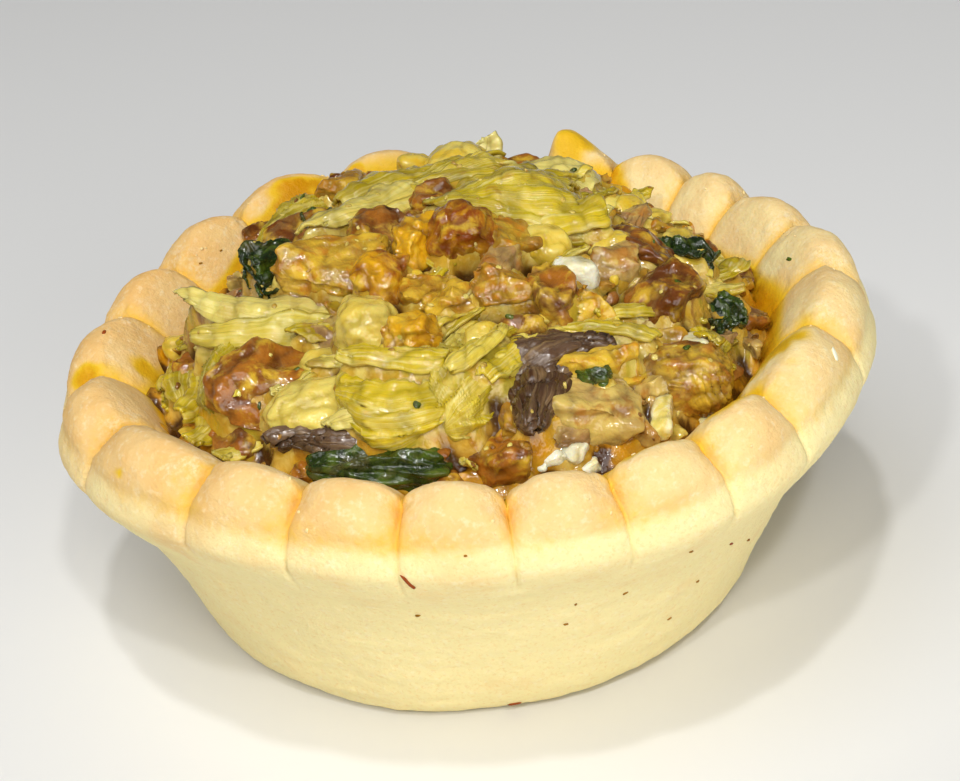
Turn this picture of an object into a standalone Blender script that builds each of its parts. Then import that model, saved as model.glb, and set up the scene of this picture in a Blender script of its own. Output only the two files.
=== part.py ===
"""Mushroom tartlet: a lobed shortcrust case holding a baked heap of mushroom, leek, spinach and cheese.

Two solids, as the real thing has two parts: the pastry case and the filling that fills it to a dome.
Angles round the rim start at the front (-Y) and grow towards +X. Sizes are in millimetres until the end.
"""
import math
import random

import bmesh
import bpy
from mathutils import Matrix, Vector, noise

MM = 0.001
AXIS_RADIUS = 0.001
MERGE = 0.0001

# The case: rim and base sizes
RIM_RADIUS = 33.0
RIM_HEIGHT = 20.6
BASE_RADIUS = 21.1
CREST_HEIGHT = 26.5
FLOOR_HEIGHT = 4.2
LOBES = 21
LOBE_SAMPLES = (0.0, 0.08, 0.29, 0.5, 0.71, 0.92)
LOBE_ROUNDNESS = 0.36
GROOVE_START = 0.016
GROOVE_LEAD = 3
GROOVE_SHIFT = (
    4.9, 4.1, 2.9, 1.5, 0.2, -1.5, -3.8, -0.9, 0.7, 0.8, 1.3,
    -3.1, -5.0, -8.2, -6.2, -4.2, 0.4, 1.1, -0.8, -0.8, -0.9,
)
GROOVE_DEPTH_RANGE = (0.8, 1.25)
DEEP_GROOVE = 3
DEEP_GROOVE_DEPTH = 1.5

# How the hand-pressed rim leaves a true circle: waves per turn, size, where it peaks (degrees)
RIM_SWAY = ((2, 0.033, -147.0), (3, 0.024, 112.0), (4, 0.004, -17.0), (5, 0.006, 25.0), (6, 0.007, -153.0))
RIM_RISE = ((2, 0.59, 71.0), (3, 0.77, -108.0))
RIM_DIP = 2.0
RIM_DIP_ANGLE = math.radians(168.0)
RIM_DIP_SPREAD = math.radians(13.0)
BASE_SHIFT = (-1.5, 1.1)
BASE_SWAY_SHARE = 0.3
FULL_SWAY_HEIGHT = 18.0

# The lobe with a torn, pointed tip
TORN_LOBE = 12
TORN_HEIGHT = 2.6
TORN_PEAK = 0.70
TORN_SPREAD = (0.34, 0.14)

# Case outline at the middle of a lobe, from the base centre round the rim to the floor centre:
# radius, height, how far a groove draws it in, how far a groove drops it, share of the torn tip
CASE_OUTLINE = (
    (0.0, 0.0, 0.0, 0.0, 0.0),
    (BASE_RADIUS, 0.0, 0.0, 0.0, 0.0),
    (22.9, 0.5, 0.0, 0.0, 0.0),
    (24.2, 2.0, 0.0, 0.0, 0.0),
    (26.3, 8.0, 0.0, 0.0, 0.0),
    (29.0, 14.6, 0.0, 0.0, 0.0),
    (31.0, 17.4, 0.1, 0.0, 0.0),
    (32.3, 19.2, 0.6, 0.0, 0.0),
    (RIM_RADIUS, RIM_HEIGHT, 1.0, 0.1, 0.1),
    (32.7, 21.9, 1.1, 0.3, 0.2),
    (32.2, 22.7, 1.1, 0.4, 0.3),
    (32.1, 24.1, 1.3, 0.9, 0.6),
    (31.5, 25.5, 1.6, 1.8, 0.9),
    (30.2, CREST_HEIGHT, 0.9, 2.6, 1.0),
    (28.6, CREST_HEIGHT, -0.2, 2.6, 1.0),
    (26.4, 24.5, -1.0, 1.8, 0.5),
    (24.4, 21.4, -1.0, 0.8, 0.1),
    (22.7, 17.8, -0.4, 0.2, 0.0),
    (21.4, 13.0, 0.0, 0.0, 0.0),
    (18.8, 5.6, 0.0, 0.0, 0.0),
    (17.0, FLOOR_HEIGHT, 0.0, 0.0, 0.0),
    (0.0, FLOOR_HEIGHT, 0.0, 0.0, 0.0),
)

# The room that the filling has: the case's inner side less a gap, then open over the crest
GAP = 0.38
ROOM_SAMPLES = (0.0, 1.0 / 3.0, 2.0 / 3.0)
ROOM_TOP = 40.0
ROOM_TORN_HEIGHT = 4.6
ROOM_TORN_SPREAD = 0.22
ROOM_OUTLINE = (
    (0.0, FLOOR_HEIGHT + GAP),
    (16.8, FLOOR_HEIGHT + GAP),
    (18.5, 5.9),
    (21.02, 13.1),
    (22.3, 17.95),
    (24.05, 21.6),
    (26.1, 24.82),
    (28.45, 26.9),
    (30.3, 26.95),
    (32.8, 27.1),
    (32.8, ROOM_TOP),
    (0.0, ROOM_TOP),
)
ROOM_TORN_FROM = 7

# The heap: how high it stands at its edge and in the middle
HEAP_RADIUS = 24.2
HEAP_TOP = 30.4
HEAP_EDGE = 20.2
HEAP_BACK_RISE = 6.0
HEAP_BACK_ANGLE = math.radians(190.0)
HEAP_FRONT_RISE = 1.6
HEAP_RINGS = (1.22, 1.08, 0.97, 0.86, 0.7, 0.5, 0.28)
HEAP_FULLNESS = 0.75
HEAP_BUMP = 0.5
HEAP_BUMP_LENGTH = 5.0
CORE_RADIUS = 30.5
CORE_FLOOR = 2.0

# Pieces that show in the heap, each in millimetres and degrees:
# form, x, y, lift of its middle over the heap, (length, width, thickness), turn, lean, roll
PIECES = (
    ("chunk", -16.2, -10.2, 0.6, (10.0, 7.5, 5.5), 35, 0, 14),
    ("blob", -13.0, -14.6, 0.3, (7.4, 6.6, 4.4), -10, 0, 8),
    ("chunk", -11.4, -17.6, 0.4, (10.4, 4.0, 3.4), -6, 0, 10),
    ("roll", -8.0, -20.6, 0.5, (11.5, 4.8, 4.4), -9, -3, 0),
    ("fold", -6.4, -17.1, 1.0, (9.4, 8.2, 5.4), -8, -8, 12),
    ("fold", -0.1, -18.2, 1.2, (7.8, 7.8, 5.8), 38, -10, 0),
    ("chunk", -4.4, -12.0, 1.0, (5.4, 5.0, 4.8), 20, 0, 0),
    ("blob", -8.0, -9.3, 1.1, (6.6, 6.8, 5.4), 0, 0, 0),
    ("chunk", -11.6, 0.4, 0.9, (11.8, 8.6, 5.0), 24, -4, 16),
    ("chunk", -6.4, -4.4, 1.2, (6.6, 5.8, 4.6), 40, 0, 0),
    ("chunk", -6.5, 5.2, 1.0, (5.6, 5.2, 4.4), -30, 0, 0),
    ("band", -7.4, 9.2, 1.3, (12.0, 4.6, 3.4), 40, 0, 12),
    ("band", -17.7, -0.3, 0.9, (14.0, 3.6, 2.2), -25, 0, 24),
    ("band", -18.2, -2.5, 0.8, (11.0, 3.2, 1.8), -22, 0, 20),
    ("band", -25.2, -1.4, 0.5, (6.6, 2.8, 1.6), 78, 0, 20),
    ("band", -19.6, -7.8, 1.0, (8.0, 3.6, 2.6), 48, 0, 30),
    ("leaf", -16.5, 5.1, 0.7, (6.6, 5.4, 3.6), 20, 0, 0),
    ("chunk", -18.0, 17.8, 0.8, (5.0, 2.2, 4.0), 60, 0, 0),
    ("fold", -14.4, 19.1, 0.5, (9.0, 5.4, 3.6), 38, 0, 0),
    ("band", -3.7, 14.4, 1.5, (13.5, 5.6, 4.4), 14, 0, 0),
    ("band", 5.7, 13.9, 0.8, (8.5, 5.2, 4.0), -22, 0, 0),
    ("flap", 3.3, 25.1, 0.9, (5.0, 2.8, 5.6), 14, 0, 0),
    ("fold", 4.3, 5.7, 0.8, (12.0, 9.0, 5.8), -12, 0, 0),
    ("band", 9.1, 2.6, 1.5, (7.0, 4.2, 2.4), 24, 8, 14),
    ("chunk", -0.3, -0.4, 1.2, (10.4, 7.2, 5.6), 4, 0, 16),
    ("chunk", 3.0, -7.4, 1.1, (5.2, 5.0, 4.8), 15, 0, 0),
    ("blob", -3.3, -5.9, 0.7, (4.8, 4.2, 3.6), 0, 0, 0),
    ("blob", -1.1, -7.7, 0.6, (5.2, 4.0, 3.6), -20, 0, 0),
    ("roll", -1.1, -13.0, 0.4, (4.8, 3.6, 3.2), 30, 0, 0),
    ("blob", 8.8, -5.5, 1.4, (5.2, 4.0, 3.8), -15, 0, 0),
    ("chunk", 6.3, -7.6, 1.0, (6.4, 4.4, 4.6), -65, 0, 0),
    ("chunk", 9.0, -8.8, 0.6, (5.4, 4.6, 3.8), 0, 0, 0),
    ("chunk", 5.6, -13.6, 1.1, (8.8, 5.4, 4.0), 4, 0, 14),
    ("chunk", 3.6, -17.9, 0.7, (7.4, 4.6, 4.0), 78, 0, 0),
    ("chunk", 9.1, -15.1, 1.0, (7.4, 5.6, 4.2), 10, 0, 0),
    ("chunk", 8.9, -18.6, 1.0, (7.6, 6.0, 5.2), -6, 0, 0),
    ("chunk", 1.4, -21.7, 0.6, (7.4, 4.8, 4.4), 6, 0, 0),
    ("blob", 5.9, -21.8, 0.4, (5.0, 3.4, 3.0), 0, 0, 0),
    ("rod", 13.6, -18.3, 0.8, (5.2, 2.4, 2.4), 72, 0, 0),
    ("rod", 16.9, -16.6, 0.5, (3.2, 2.2, 2.2), -20, 0, 0),
    ("chunk", 15.8, -14.3, 0.8, (8.6, 6.4, 5.2), -12, 0, 0),
    ("rod", 17.2, -10.9, 0.9, (2.9, 2.6, 2.6), 10, 0, 0),
    ("chunk", 14.3, 0.9, 0.9, (9.0, 4.8, 4.6), -40, 0, 0),
    ("chunk", 15.3, -6.4, 1.1, (7.6, 6.8, 5.6), -20, 0, 0),
    ("leaf", 18.2, 2.0, 0.5, (7.4, 4.4, 3.6), -52, 0, 0),
    ("leaf", 20.3, -4.9, 0.5, (5.0, 3.8, 3.2), -60, 0, 0),
    ("band", 20.4, -8.4, 0.5, (6.2, 2.8, 2.6), 74, 0, 0),
    ("band", 10.5, -11.6, 0.9, (8.0, 3.0, 2.4), -12, 0, 0),
    ("band", 12.0, -9.2, 0.8, (6.5, 2.6, 2.2), 12, 0, 0),
    ("chunk", -1.6, 9.4, 0.8, (5.2, 4.6, 4.2), 0, 0, 0),
    ("chunk", -2.5, 14.9, 0.6, (5.0, 4.0, 3.4), 20, 0, 0),
    ("chunk", -10.3, 21.7, 0.8, (3.4, 2.8, 3.8), 70, 0, 0),
    ("blob", 6.5, -0.8, 0.7, (5.0, 4.4, 3.8), 0, 0, 0),
    ("blob", 12.3, 0.6, 0.5, (4.6, 3.8, 3.4), 30, 0, 0),
    ("blob", 10.7, 13.0, 0.3, (8.0, 7.0, 4.2), -35, 0, 0),
    ("blob", 14.6, 9.7, 0.3, (6.0, 5.4, 3.8), -60, 0, 0),
    ("chunk", -13.5, 10.8, 0.9, (7.4, 5.6, 4.6), 30, 0, 0),
    ("chunk", -9.0, 18.4, 0.9, (6.6, 5.6, 4.6), -20, 0, 0),
    ("blob", -14.9, 15.4, 0.7, (5.8, 5.0, 4.0), 0, 0, 0),
    ("fold", 0.6, 13.6, 1.0, (9.6, 6.4, 5.0), 24, 0, 0),
    ("chunk", 6.2, 20.6, 0.9, (6.6, 5.2, 4.4), 15, 0, 0),
    ("blob", 0.4, 20.6, 0.8, (6.0, 5.6, 4.4), 0, 0, 0),
    ("chunk", 15.4, 5.4, 0.8, (5.6, 4.6, 4.0), 50, 0, 0),
    ("chunk", 10.6, 17.2, 0.7, (6.0, 4.8, 4.0), -40, 0, 0),
)
CRAG_PER_LENGTH = 2.2
CHUNK_CRAG = 0.22
BLOB_CRAG = 0.06
LEAF_CRAG = 0.30
CHUNK_SQUARENESS = 0.62
BLOB_SQUARENESS = 0.95
LEAF_SQUARENESS = 0.9
ROLL_SQUARENESS = 0.85
FOLD_SQUARENESS = 0.8
FOLD_RIDGES = 5
FOLD_RIDGE_DEPTH = 0.07
FOLD_CURL = 0.18
BAND_CUTS = 5
BAND_ARCH = 0.64
BAND_TAPER = 0.35
BAND_SNAKE = 0.25
BAND_SNAKE_RATE = 2.2
BAND_THINNING = 0.25
ROD_ARCH = 0.08
ROD_TAPER = 0.15
FLAP_TAPER = 0.7
FLAP_SIDES = 10
SEED = 17
SEED_RANGE = (0.0, 6.0)

# Where the rim's own axis stands, so that the whole rests centred on the origin
CASE_CENTRE = (-0.642, 0.373)

CRUST_COLOUR = (0.86, 0.62, 0.33, 1.0)
FILLING_COLOUR = (0.62, 0.42, 0.13, 1.0)
CRUST_ROUGHNESS = 0.75
FILLING_ROUGHNESS = 0.45
SHARP_ANGLE = math.radians(40.0)


def groove_angle(index):
    """Angle of groove number index, counted from the front left."""
    turns, place = divmod(index, LOBES)
    even = GROOVE_START + 2 * math.pi * (place - GROOVE_LEAD) / LOBES
    return even + math.radians(GROOVE_SHIFT[place]) + 2 * math.pi * turns


def wave(angle, waves):
    """Sum of cosine waves round the rim."""
    return sum(size * math.cos(count * angle - math.radians(peak)) for count, size, peak in waves)


def lobe_fullness(share):
    """0 in a groove, 1 on the middle of a lobe, with a sharp groove and a round lobe."""
    return math.sin(math.pi * share) ** LOBE_ROUNDNESS if 0 < share < 1 else 0.0


def rim_level(angle):
    """How much the rim rises or sinks at this angle, with one pressed-down place at the back."""
    away = (angle - RIM_DIP_ANGLE + math.pi) % (2 * math.pi) - math.pi
    return wave(angle, RIM_RISE) - RIM_DIP * math.exp(-((away / RIM_DIP_SPREAD) ** 2))


def torn_tip(share, height):
    """Height that the torn lobe adds at this share of its width."""
    spread = TORN_SPREAD[0] if share < TORN_PEAK else TORN_SPREAD[1]
    return height * math.exp(-(((share - TORN_PEAK) / spread) ** 2))


def columns(samples):
    """Angle, lobe number and share of the lobe for each column of a turned shape."""
    found = []
    for lobe in range(LOBES):
        start = groove_angle(lobe)
        width = groove_angle(lobe + 1) - start
        found += [(start + width * share, lobe, share) for share in samples]
    return found


def sway_share(height):
    """How much of the rim's sway reaches this height."""
    return BASE_SWAY_SHARE + (1 - BASE_SWAY_SHARE) * min(1.0, height / FULL_SWAY_HEIGHT)


def rise_share(height):
    """How much of the rim's rise and fall reaches this height."""
    return min(1.0, max(0.0, height / RIM_HEIGHT)) ** 2


def rim_point(radius, height, angle):
    """A point of the case or the filling, with the rim's sway and rise."""
    reach = radius * (1 + sway_share(height) * wave(angle, RIM_SWAY))
    level = height + rise_share(height) * rim_level(angle)
    lean = 1 - min(1.0, height / FULL_SWAY_HEIGHT)
    x = reach * math.sin(angle) + lean * BASE_SHIFT[0]
    y = lean * BASE_SHIFT[1] - reach * math.cos(angle)
    return Vector((x, y, level))


def heap_height(x, y):
    """Height of the bare heap over a point."""
    angle = math.atan2(x, -y)
    edge_radius = HEAP_RADIUS * (1 + wave(angle, RIM_SWAY))
    share = min(1.0, math.hypot(x, y) / edge_radius)
    front = max(0.0, math.cos(angle))
    back = max(0.0, math.cos(angle - HEAP_BACK_ANGLE))
    edge = HEAP_EDGE + HEAP_FRONT_RISE * front**2 + HEAP_BACK_RISE * back**3
    return edge + (HEAP_TOP - edge) * (1 - share**2) ** HEAP_FULLNESS


def turned(name, outline, steps, group):
    """Turn an outline into a closed body with a Screw modifier, and return it as a mesh object."""
    mesh = bpy.data.meshes.new(name + "_outline")
    points = [(radius, 0.0, height) for radius, height in outline]
    mesh.from_pydata(points, [(i, i + 1) for i in range(len(points) - 1)], [])
    item = bpy.data.objects.new(name + "_outline", mesh)
    group.objects.link(item)
    screw = item.modifiers.new("Turn", "SCREW")
    screw.axis = "Z"
    screw.steps = steps
    screw.render_steps = steps
    screw.use_merge_vertices = True
    screw.merge_threshold = MERGE
    body = applied(item, name, group)
    shell = bmesh.new()
    shell.from_mesh(body.data)
    bmesh.ops.remove_doubles(shell, verts=shell.verts, dist=MERGE)
    bmesh.ops.recalc_face_normals(shell, faces=shell.faces)
    shell.to_mesh(body.data)
    shell.free()
    return body


def applied(item, name, group):
    """A new object from what the modifiers make of this one, which is then removed."""
    view = bpy.context.evaluated_depsgraph_get()
    view.update()
    mesh = bpy.data.meshes.new_from_object(item.evaluated_get(view))
    old = item.data
    bpy.data.objects.remove(item)
    bpy.data.meshes.remove(old)
    mesh.name = name
    body = bpy.data.objects.new(name, mesh)
    group.objects.link(body)
    return body


def nearest_row(outline, radius, height):
    """Which point of the outline a turned vertex came from."""
    return min(range(len(outline)), key=lambda i: abs(outline[i][0] - radius) + abs(outline[i][1] - height))


def column_of(vertex, count):
    """Which column of the turned shape a vertex stands in."""
    return round(math.atan2(vertex.co.y, vertex.co.x) / (2 * math.pi) * count) % count


def groove_depths():
    """How deep each groove is, against the outline's own figures."""
    draw = random.Random(SEED)
    depths = [draw.uniform(*GROOVE_DEPTH_RANGE) for _ in range(LOBES)]
    depths[DEEP_GROOVE] = DEEP_GROOVE_DEPTH
    return depths


def add_case(group):
    """The pastry case: turned, then pressed into lobes."""
    places = columns(LOBE_SAMPLES)
    depths = groove_depths()
    rows = [(row[0], row[1]) for row in CASE_OUTLINE]
    case = turned("pastry_case", rows, len(places), group)
    for vertex in case.data.vertices:
        radius = math.hypot(vertex.co.x, vertex.co.y)
        row = CASE_OUTLINE[nearest_row(rows, radius, vertex.co.z)]
        angle, lobe, share = places[column_of(vertex, len(places))]
        depth = depths[lobe] * (1 - share) + depths[(lobe + 1) % LOBES] * share
        groove = depth * (1 - lobe_fullness(share))
        point = rim_point(row[0] - row[2] * groove, row[1] - row[3] * groove, angle)
        if lobe == TORN_LOBE:
            point.z += row[4] * torn_tip(share, TORN_HEIGHT)
        vertex.co = point
    return case


def add_room(group):
    """The space that the filling may take, open over the crest."""
    places = columns(ROOM_SAMPLES)
    room = turned("filling_room", ROOM_OUTLINE, len(places), group)
    for vertex in room.data.vertices:
        radius = math.hypot(vertex.co.x, vertex.co.y)
        index = nearest_row(ROOM_OUTLINE, radius, vertex.co.z)
        angle = places[column_of(vertex, len(places))][0]
        point = rim_point(*ROOM_OUTLINE[index], angle)
        if index >= ROOM_TORN_FROM:
            torn_middle = (groove_angle(TORN_LOBE) + groove_angle(TORN_LOBE + 1)) / 2
            turn = (angle - torn_middle + math.pi) % (2 * math.pi) - math.pi
            point.z += ROOM_TORN_HEIGHT * math.exp(-((turn / ROOM_TORN_SPREAD) ** 4))
        vertex.co = point
    return room


def add_heap(group):
    """The core of the filling: a bumpy dome on a plug that is wider than the case, and is trimmed later."""
    places = columns(ROOM_SAMPLES)
    dome = [(HEAP_RADIUS * share, HEAP_TOP + 1 - share) for share in HEAP_RINGS]
    outline = [(0.0, CORE_FLOOR), (CORE_RADIUS, CORE_FLOOR), *dome, (0.0, HEAP_TOP + 1)]
    heap = turned("mushroom_filling", outline, len(places), group)
    for vertex in heap.data.vertices:
        radius = math.hypot(vertex.co.x, vertex.co.y)
        index = nearest_row(outline, radius, vertex.co.z)
        if radius > AXIS_RADIUS:
            angle = places[column_of(vertex, len(places))][0]
            vertex.co = rim_point(outline[index][0], outline[index][1], angle)
        if index > 1:
            bump = noise.noise(vertex.co / HEAP_BUMP_LENGTH)
            vertex.co.z = heap_height(vertex.co.x, vertex.co.y) + HEAP_BUMP * bump
    return heap


def crag(shell, depth, seed):
    """Push points in and out so that a round start looks torn or baked."""
    offset = Vector((seed * 7.3, seed * 3.1, seed * 5.7))
    for point in shell.verts:
        point.co *= 1 + depth * noise.noise(point.co * CRAG_PER_LENGTH + offset)


def squared(shell, power):
    """Make a ball fuller towards its corners, as a cut piece is."""
    for point in shell.verts:
        point.co = Vector([math.copysign(abs(value) ** power, value) for value in point.co])


def lump(depth, power, seed):
    """A closed lump about one unit in radius."""
    shell = bmesh.new()
    bmesh.ops.create_icosphere(shell, subdivisions=2, radius=1.0)
    squared(shell, power)
    crag(shell, depth, seed)
    return shell


def ribbed(seed):
    """A folded leek: a lump with ridges along its length."""
    shell = lump(BLOB_CRAG, FOLD_SQUARENESS, seed)
    for point in shell.verts:
        point.co.z *= 1 + FOLD_RIDGE_DEPTH * math.cos(FOLD_RIDGES * math.pi * point.co.y)
        point.co.z += FOLD_CURL * point.co.x**2
    return shell


def strip(arch, taper, seed):
    """A cut strip that arches along its length."""
    shell = bmesh.new()
    bmesh.ops.create_cube(shell, size=2.0)
    along = [edge for edge in shell.edges if abs(edge.verts[0].co.x - edge.verts[1].co.x) > 1]
    bmesh.ops.subdivide_edges(shell, edges=along, cuts=BAND_CUTS, use_grid_fill=True)
    for point in shell.verts:
        x = point.co.x
        narrow = 1 - taper * abs(x) ** 3
        point.co.y = point.co.y * narrow + BAND_SNAKE * math.sin(BAND_SNAKE_RATE * x + seed)
        point.co.z = point.co.z * (1 - BAND_THINNING * (1 - narrow)) - arch * x**2
    return shell


def flap():
    """The cut end of a leek that stands up from the heap."""
    shell = bmesh.new()
    bmesh.ops.create_cone(
        shell, cap_ends=True, segments=FLAP_SIDES, radius1=1.0, radius2=1 - FLAP_TAPER, depth=2.0
    )
    return shell


def piece_shell(form, seed):
    """The unit shape of one kind of piece."""
    if form == "chunk":
        return lump(CHUNK_CRAG, CHUNK_SQUARENESS, seed)
    if form == "blob":
        return lump(BLOB_CRAG, BLOB_SQUARENESS, seed)
    if form == "leaf":
        return lump(LEAF_CRAG, LEAF_SQUARENESS, seed)
    if form == "fold":
        return ribbed(seed)
    if form == "band":
        return strip(BAND_ARCH, BAND_TAPER, seed)
    if form == "roll":
        return lump(BLOB_CRAG, ROLL_SQUARENESS, seed)
    if form == "rod":
        return strip(ROD_ARCH, ROD_TAPER, 0.0)
    return flap()


def add_pieces(group):
    """Every piece that shows, closed and overlapping the heap, ready to be fused."""
    draw = random.Random(SEED)
    for number, (form, x, y, lift, size, turn, lean, roll) in enumerate(PIECES):
        shell = piece_shell(form, draw.uniform(*SEED_RANGE))
        place = (
            Matrix.Translation((x, y, heap_height(x, y) + lift))
            @ Matrix.Rotation(math.radians(turn), 4, "Z")
            @ Matrix.Rotation(math.radians(-lean), 4, "Y")
            @ Matrix.Rotation(math.radians(roll), 4, "X")
            @ Matrix.Diagonal((size[0] / 2, size[1] / 2, size[2] / 2, 1.0))
        )
        bmesh.ops.transform(shell, matrix=place, verts=shell.verts)
        bmesh.ops.recalc_face_normals(shell, faces=shell.faces)
        mesh = bpy.data.meshes.new(f"piece_{number}")
        shell.to_mesh(mesh)
        shell.free()
        group.objects.link(bpy.data.objects.new(f"piece_{number}", mesh))


def joined(body, operation, other, group, is_group=False):
    """Apply one Boolean to a body and return what it makes."""
    cut = body.modifiers.new("Join", "BOOLEAN")
    cut.operation = operation
    cut.solver = "EXACT"
    if is_group:
        cut.operand_type = "COLLECTION"
        cut.collection = other
    else:
        cut.object = other
    return applied(body, body.name, group)


def drop_scraps(body):
    """Keep the one outer skin: loose scraps and sealed hollows go."""
    shell = bmesh.new()
    shell.from_mesh(body.data)
    bmesh.ops.triangulate(shell, faces=shell.faces)
    skins = []
    left = set(shell.verts)
    while left:
        skin = set()
        queue = [left.pop()]
        while queue:
            point = queue.pop()
            skin.add(point)
            near = [edge.other_vert(point) for edge in point.link_edges]
            queue += [other for other in near if other in left]
            left.difference_update(near)
        skins.append(skin)
    skins.sort(key=len)
    loose = [point for skin in skins[:-1] for point in skin]
    bmesh.ops.delete(shell, geom=loose, context="VERTS")
    shell.to_mesh(body.data)
    shell.free()


def empty_collection(group):
    """Remove a collection and all it holds."""
    for item in list(group.objects):
        mesh = item.data
        bpy.data.objects.remove(item)
        bpy.data.meshes.remove(mesh)
    bpy.data.collections.remove(group)


def add_filling(group, cutters):
    """The heap with its visible pieces fused on, kept inside the room that the case leaves."""
    pieces = bpy.data.collections.new("filling pieces")
    bpy.context.scene.collection.children.link(pieces)
    add_pieces(pieces)
    filling = joined(add_heap(group), "UNION", pieces, group, is_group=True)
    empty_collection(pieces)
    room = add_room(cutters)
    room.hide_render = True
    room.display_type = "WIRE"
    filling = joined(filling, "INTERSECT", room, group)
    drop_scraps(filling)
    return filling


def finish(body, colour, roughness):
    """Give a body its real size, its place and its material."""
    place = Matrix.Diagonal((MM, MM, MM, 1.0)) @ Matrix.Translation((-CASE_CENTRE[0], -CASE_CENTRE[1], 0.0))
    body.data.transform(place)
    body.data.name = body.name
    body.data.shade_smooth()
    body.data.set_sharp_from_angle(angle=SHARP_ANGLE)
    material = bpy.data.materials.new(body.name)
    material.use_nodes = True
    shader = material.node_tree.nodes["Principled BSDF"]
    shader.inputs["Base Color"].default_value = colour
    shader.inputs["Roughness"].default_value = roughness
    shader.inputs["Metallic"].default_value = 0.0
    body.data.materials.clear()
    body.data.materials.append(material)


def clear_scene():
    """Start from an empty scene."""
    for item in list(bpy.data.objects):
        bpy.data.objects.remove(item)


def main():
    clear_scene()
    tartlet = bpy.data.collections.new("mushroom tartlet")
    cutters = bpy.data.collections.new("cutters")
    bpy.context.scene.collection.children.link(tartlet)
    bpy.context.scene.collection.children.link(cutters)
    case = add_case(tartlet)
    filling = add_filling(tartlet, cutters)
    finish(case, CRUST_COLOUR, CRUST_ROUGHNESS)
    finish(filling, FILLING_COLOUR, FILLING_ROUGHNESS)


main()
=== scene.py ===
"""Looks of the mushroom tartlet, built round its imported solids.

The crust is turned and pressed again with a finer relief, and the filling is laid piece by piece over its
own core. Angles round the rim start at the front (-Y) and grow towards +X. Shapes are worked out in
millimetres round the rim's own axis, as in the part's source, and settle() brings each finished mesh to
metres and to its place.
"""

import itertools
import math
import random

import bpy
import numpy as np
from mathutils import Matrix, Vector
from mathutils.bvhtree import BVHTree


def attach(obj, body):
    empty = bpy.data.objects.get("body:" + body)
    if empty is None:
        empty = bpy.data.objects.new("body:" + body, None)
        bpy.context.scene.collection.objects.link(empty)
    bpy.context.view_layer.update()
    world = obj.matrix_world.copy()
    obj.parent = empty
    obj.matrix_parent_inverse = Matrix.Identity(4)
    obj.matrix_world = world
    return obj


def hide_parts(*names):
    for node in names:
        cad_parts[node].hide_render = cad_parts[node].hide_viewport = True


bl_info = {
    "name": "Mushroom tartlet",
    "version": (1, 0, 0),
    "blender": (4, 5, 0),
    "location": "3D View > Sidebar > Tartlet",
    "description": "Builds the crust and the baked mushroom and leek filling of a small tartlet",
    "category": "Object",
}

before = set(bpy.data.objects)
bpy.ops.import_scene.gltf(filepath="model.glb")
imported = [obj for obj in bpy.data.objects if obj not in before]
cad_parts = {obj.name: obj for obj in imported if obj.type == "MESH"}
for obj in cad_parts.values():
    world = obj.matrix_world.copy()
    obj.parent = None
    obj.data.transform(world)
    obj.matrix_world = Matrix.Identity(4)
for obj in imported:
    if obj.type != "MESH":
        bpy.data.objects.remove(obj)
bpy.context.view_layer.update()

MM = 0.001
SEED = 17
# Pieces of the filling that have been laid so far
LAID = []

# The case: rim, base and lobes have the sizes of the part's source, with rounder lobes and finer grooves
RIM_RADIUS = 33.0
RIM_HEIGHT = 20.6
BASE_RADIUS = 21.1
CREST_HEIGHT = 26.5
FLOOR_HEIGHT = 4.2
LOBES = 21
LOBE_ROUNDNESS = 0.25
CREST_ROUNDNESS = 0.45
GROOVE_START = 0.016
GROOVE_LEAD = 3
GROOVE_SHIFT = (
    4.9, 4.1, 2.9, 1.5, 0.2, -1.5, -3.8, -0.9, 0.7, 0.8, 1.3,
    -3.1, -5.0, -8.2, -6.2, -4.2, 0.4, 1.1, -0.8, -0.8, -0.9,
)
GROOVE_DEPTH_RANGE = (0.8, 1.25)
DEEP_GROOVE = 3
DEEP_GROOVE_DEPTH = 1.5
# How the hand-pressed rim leaves a true circle: waves per turn, size, where it peaks (degrees)
RIM_SWAY = ((2, 0.033, -147.0), (3, 0.024, 112.0), (4, 0.004, -17.0), (5, 0.006, 25.0), (6, 0.007, -153.0))
RIM_RISE = ((2, 0.59, 71.0), (3, 0.77, -108.0))
RIM_DIP = 2.0
RIM_DIP_ANGLE = math.radians(168.0)
RIM_DIP_SPREAD = math.radians(13.0)
BASE_SHIFT = (-1.5, 1.1)
BASE_SWAY_SHARE = 0.3
FULL_SWAY_HEIGHT = 18.0
TORN_LOBE = 12
TORN_HEIGHT = 2.6
TORN_PEAK = 0.70
TORN_SPREAD = (0.34, 0.14)
CASE_CENTRE = (-0.642, 0.373)

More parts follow.
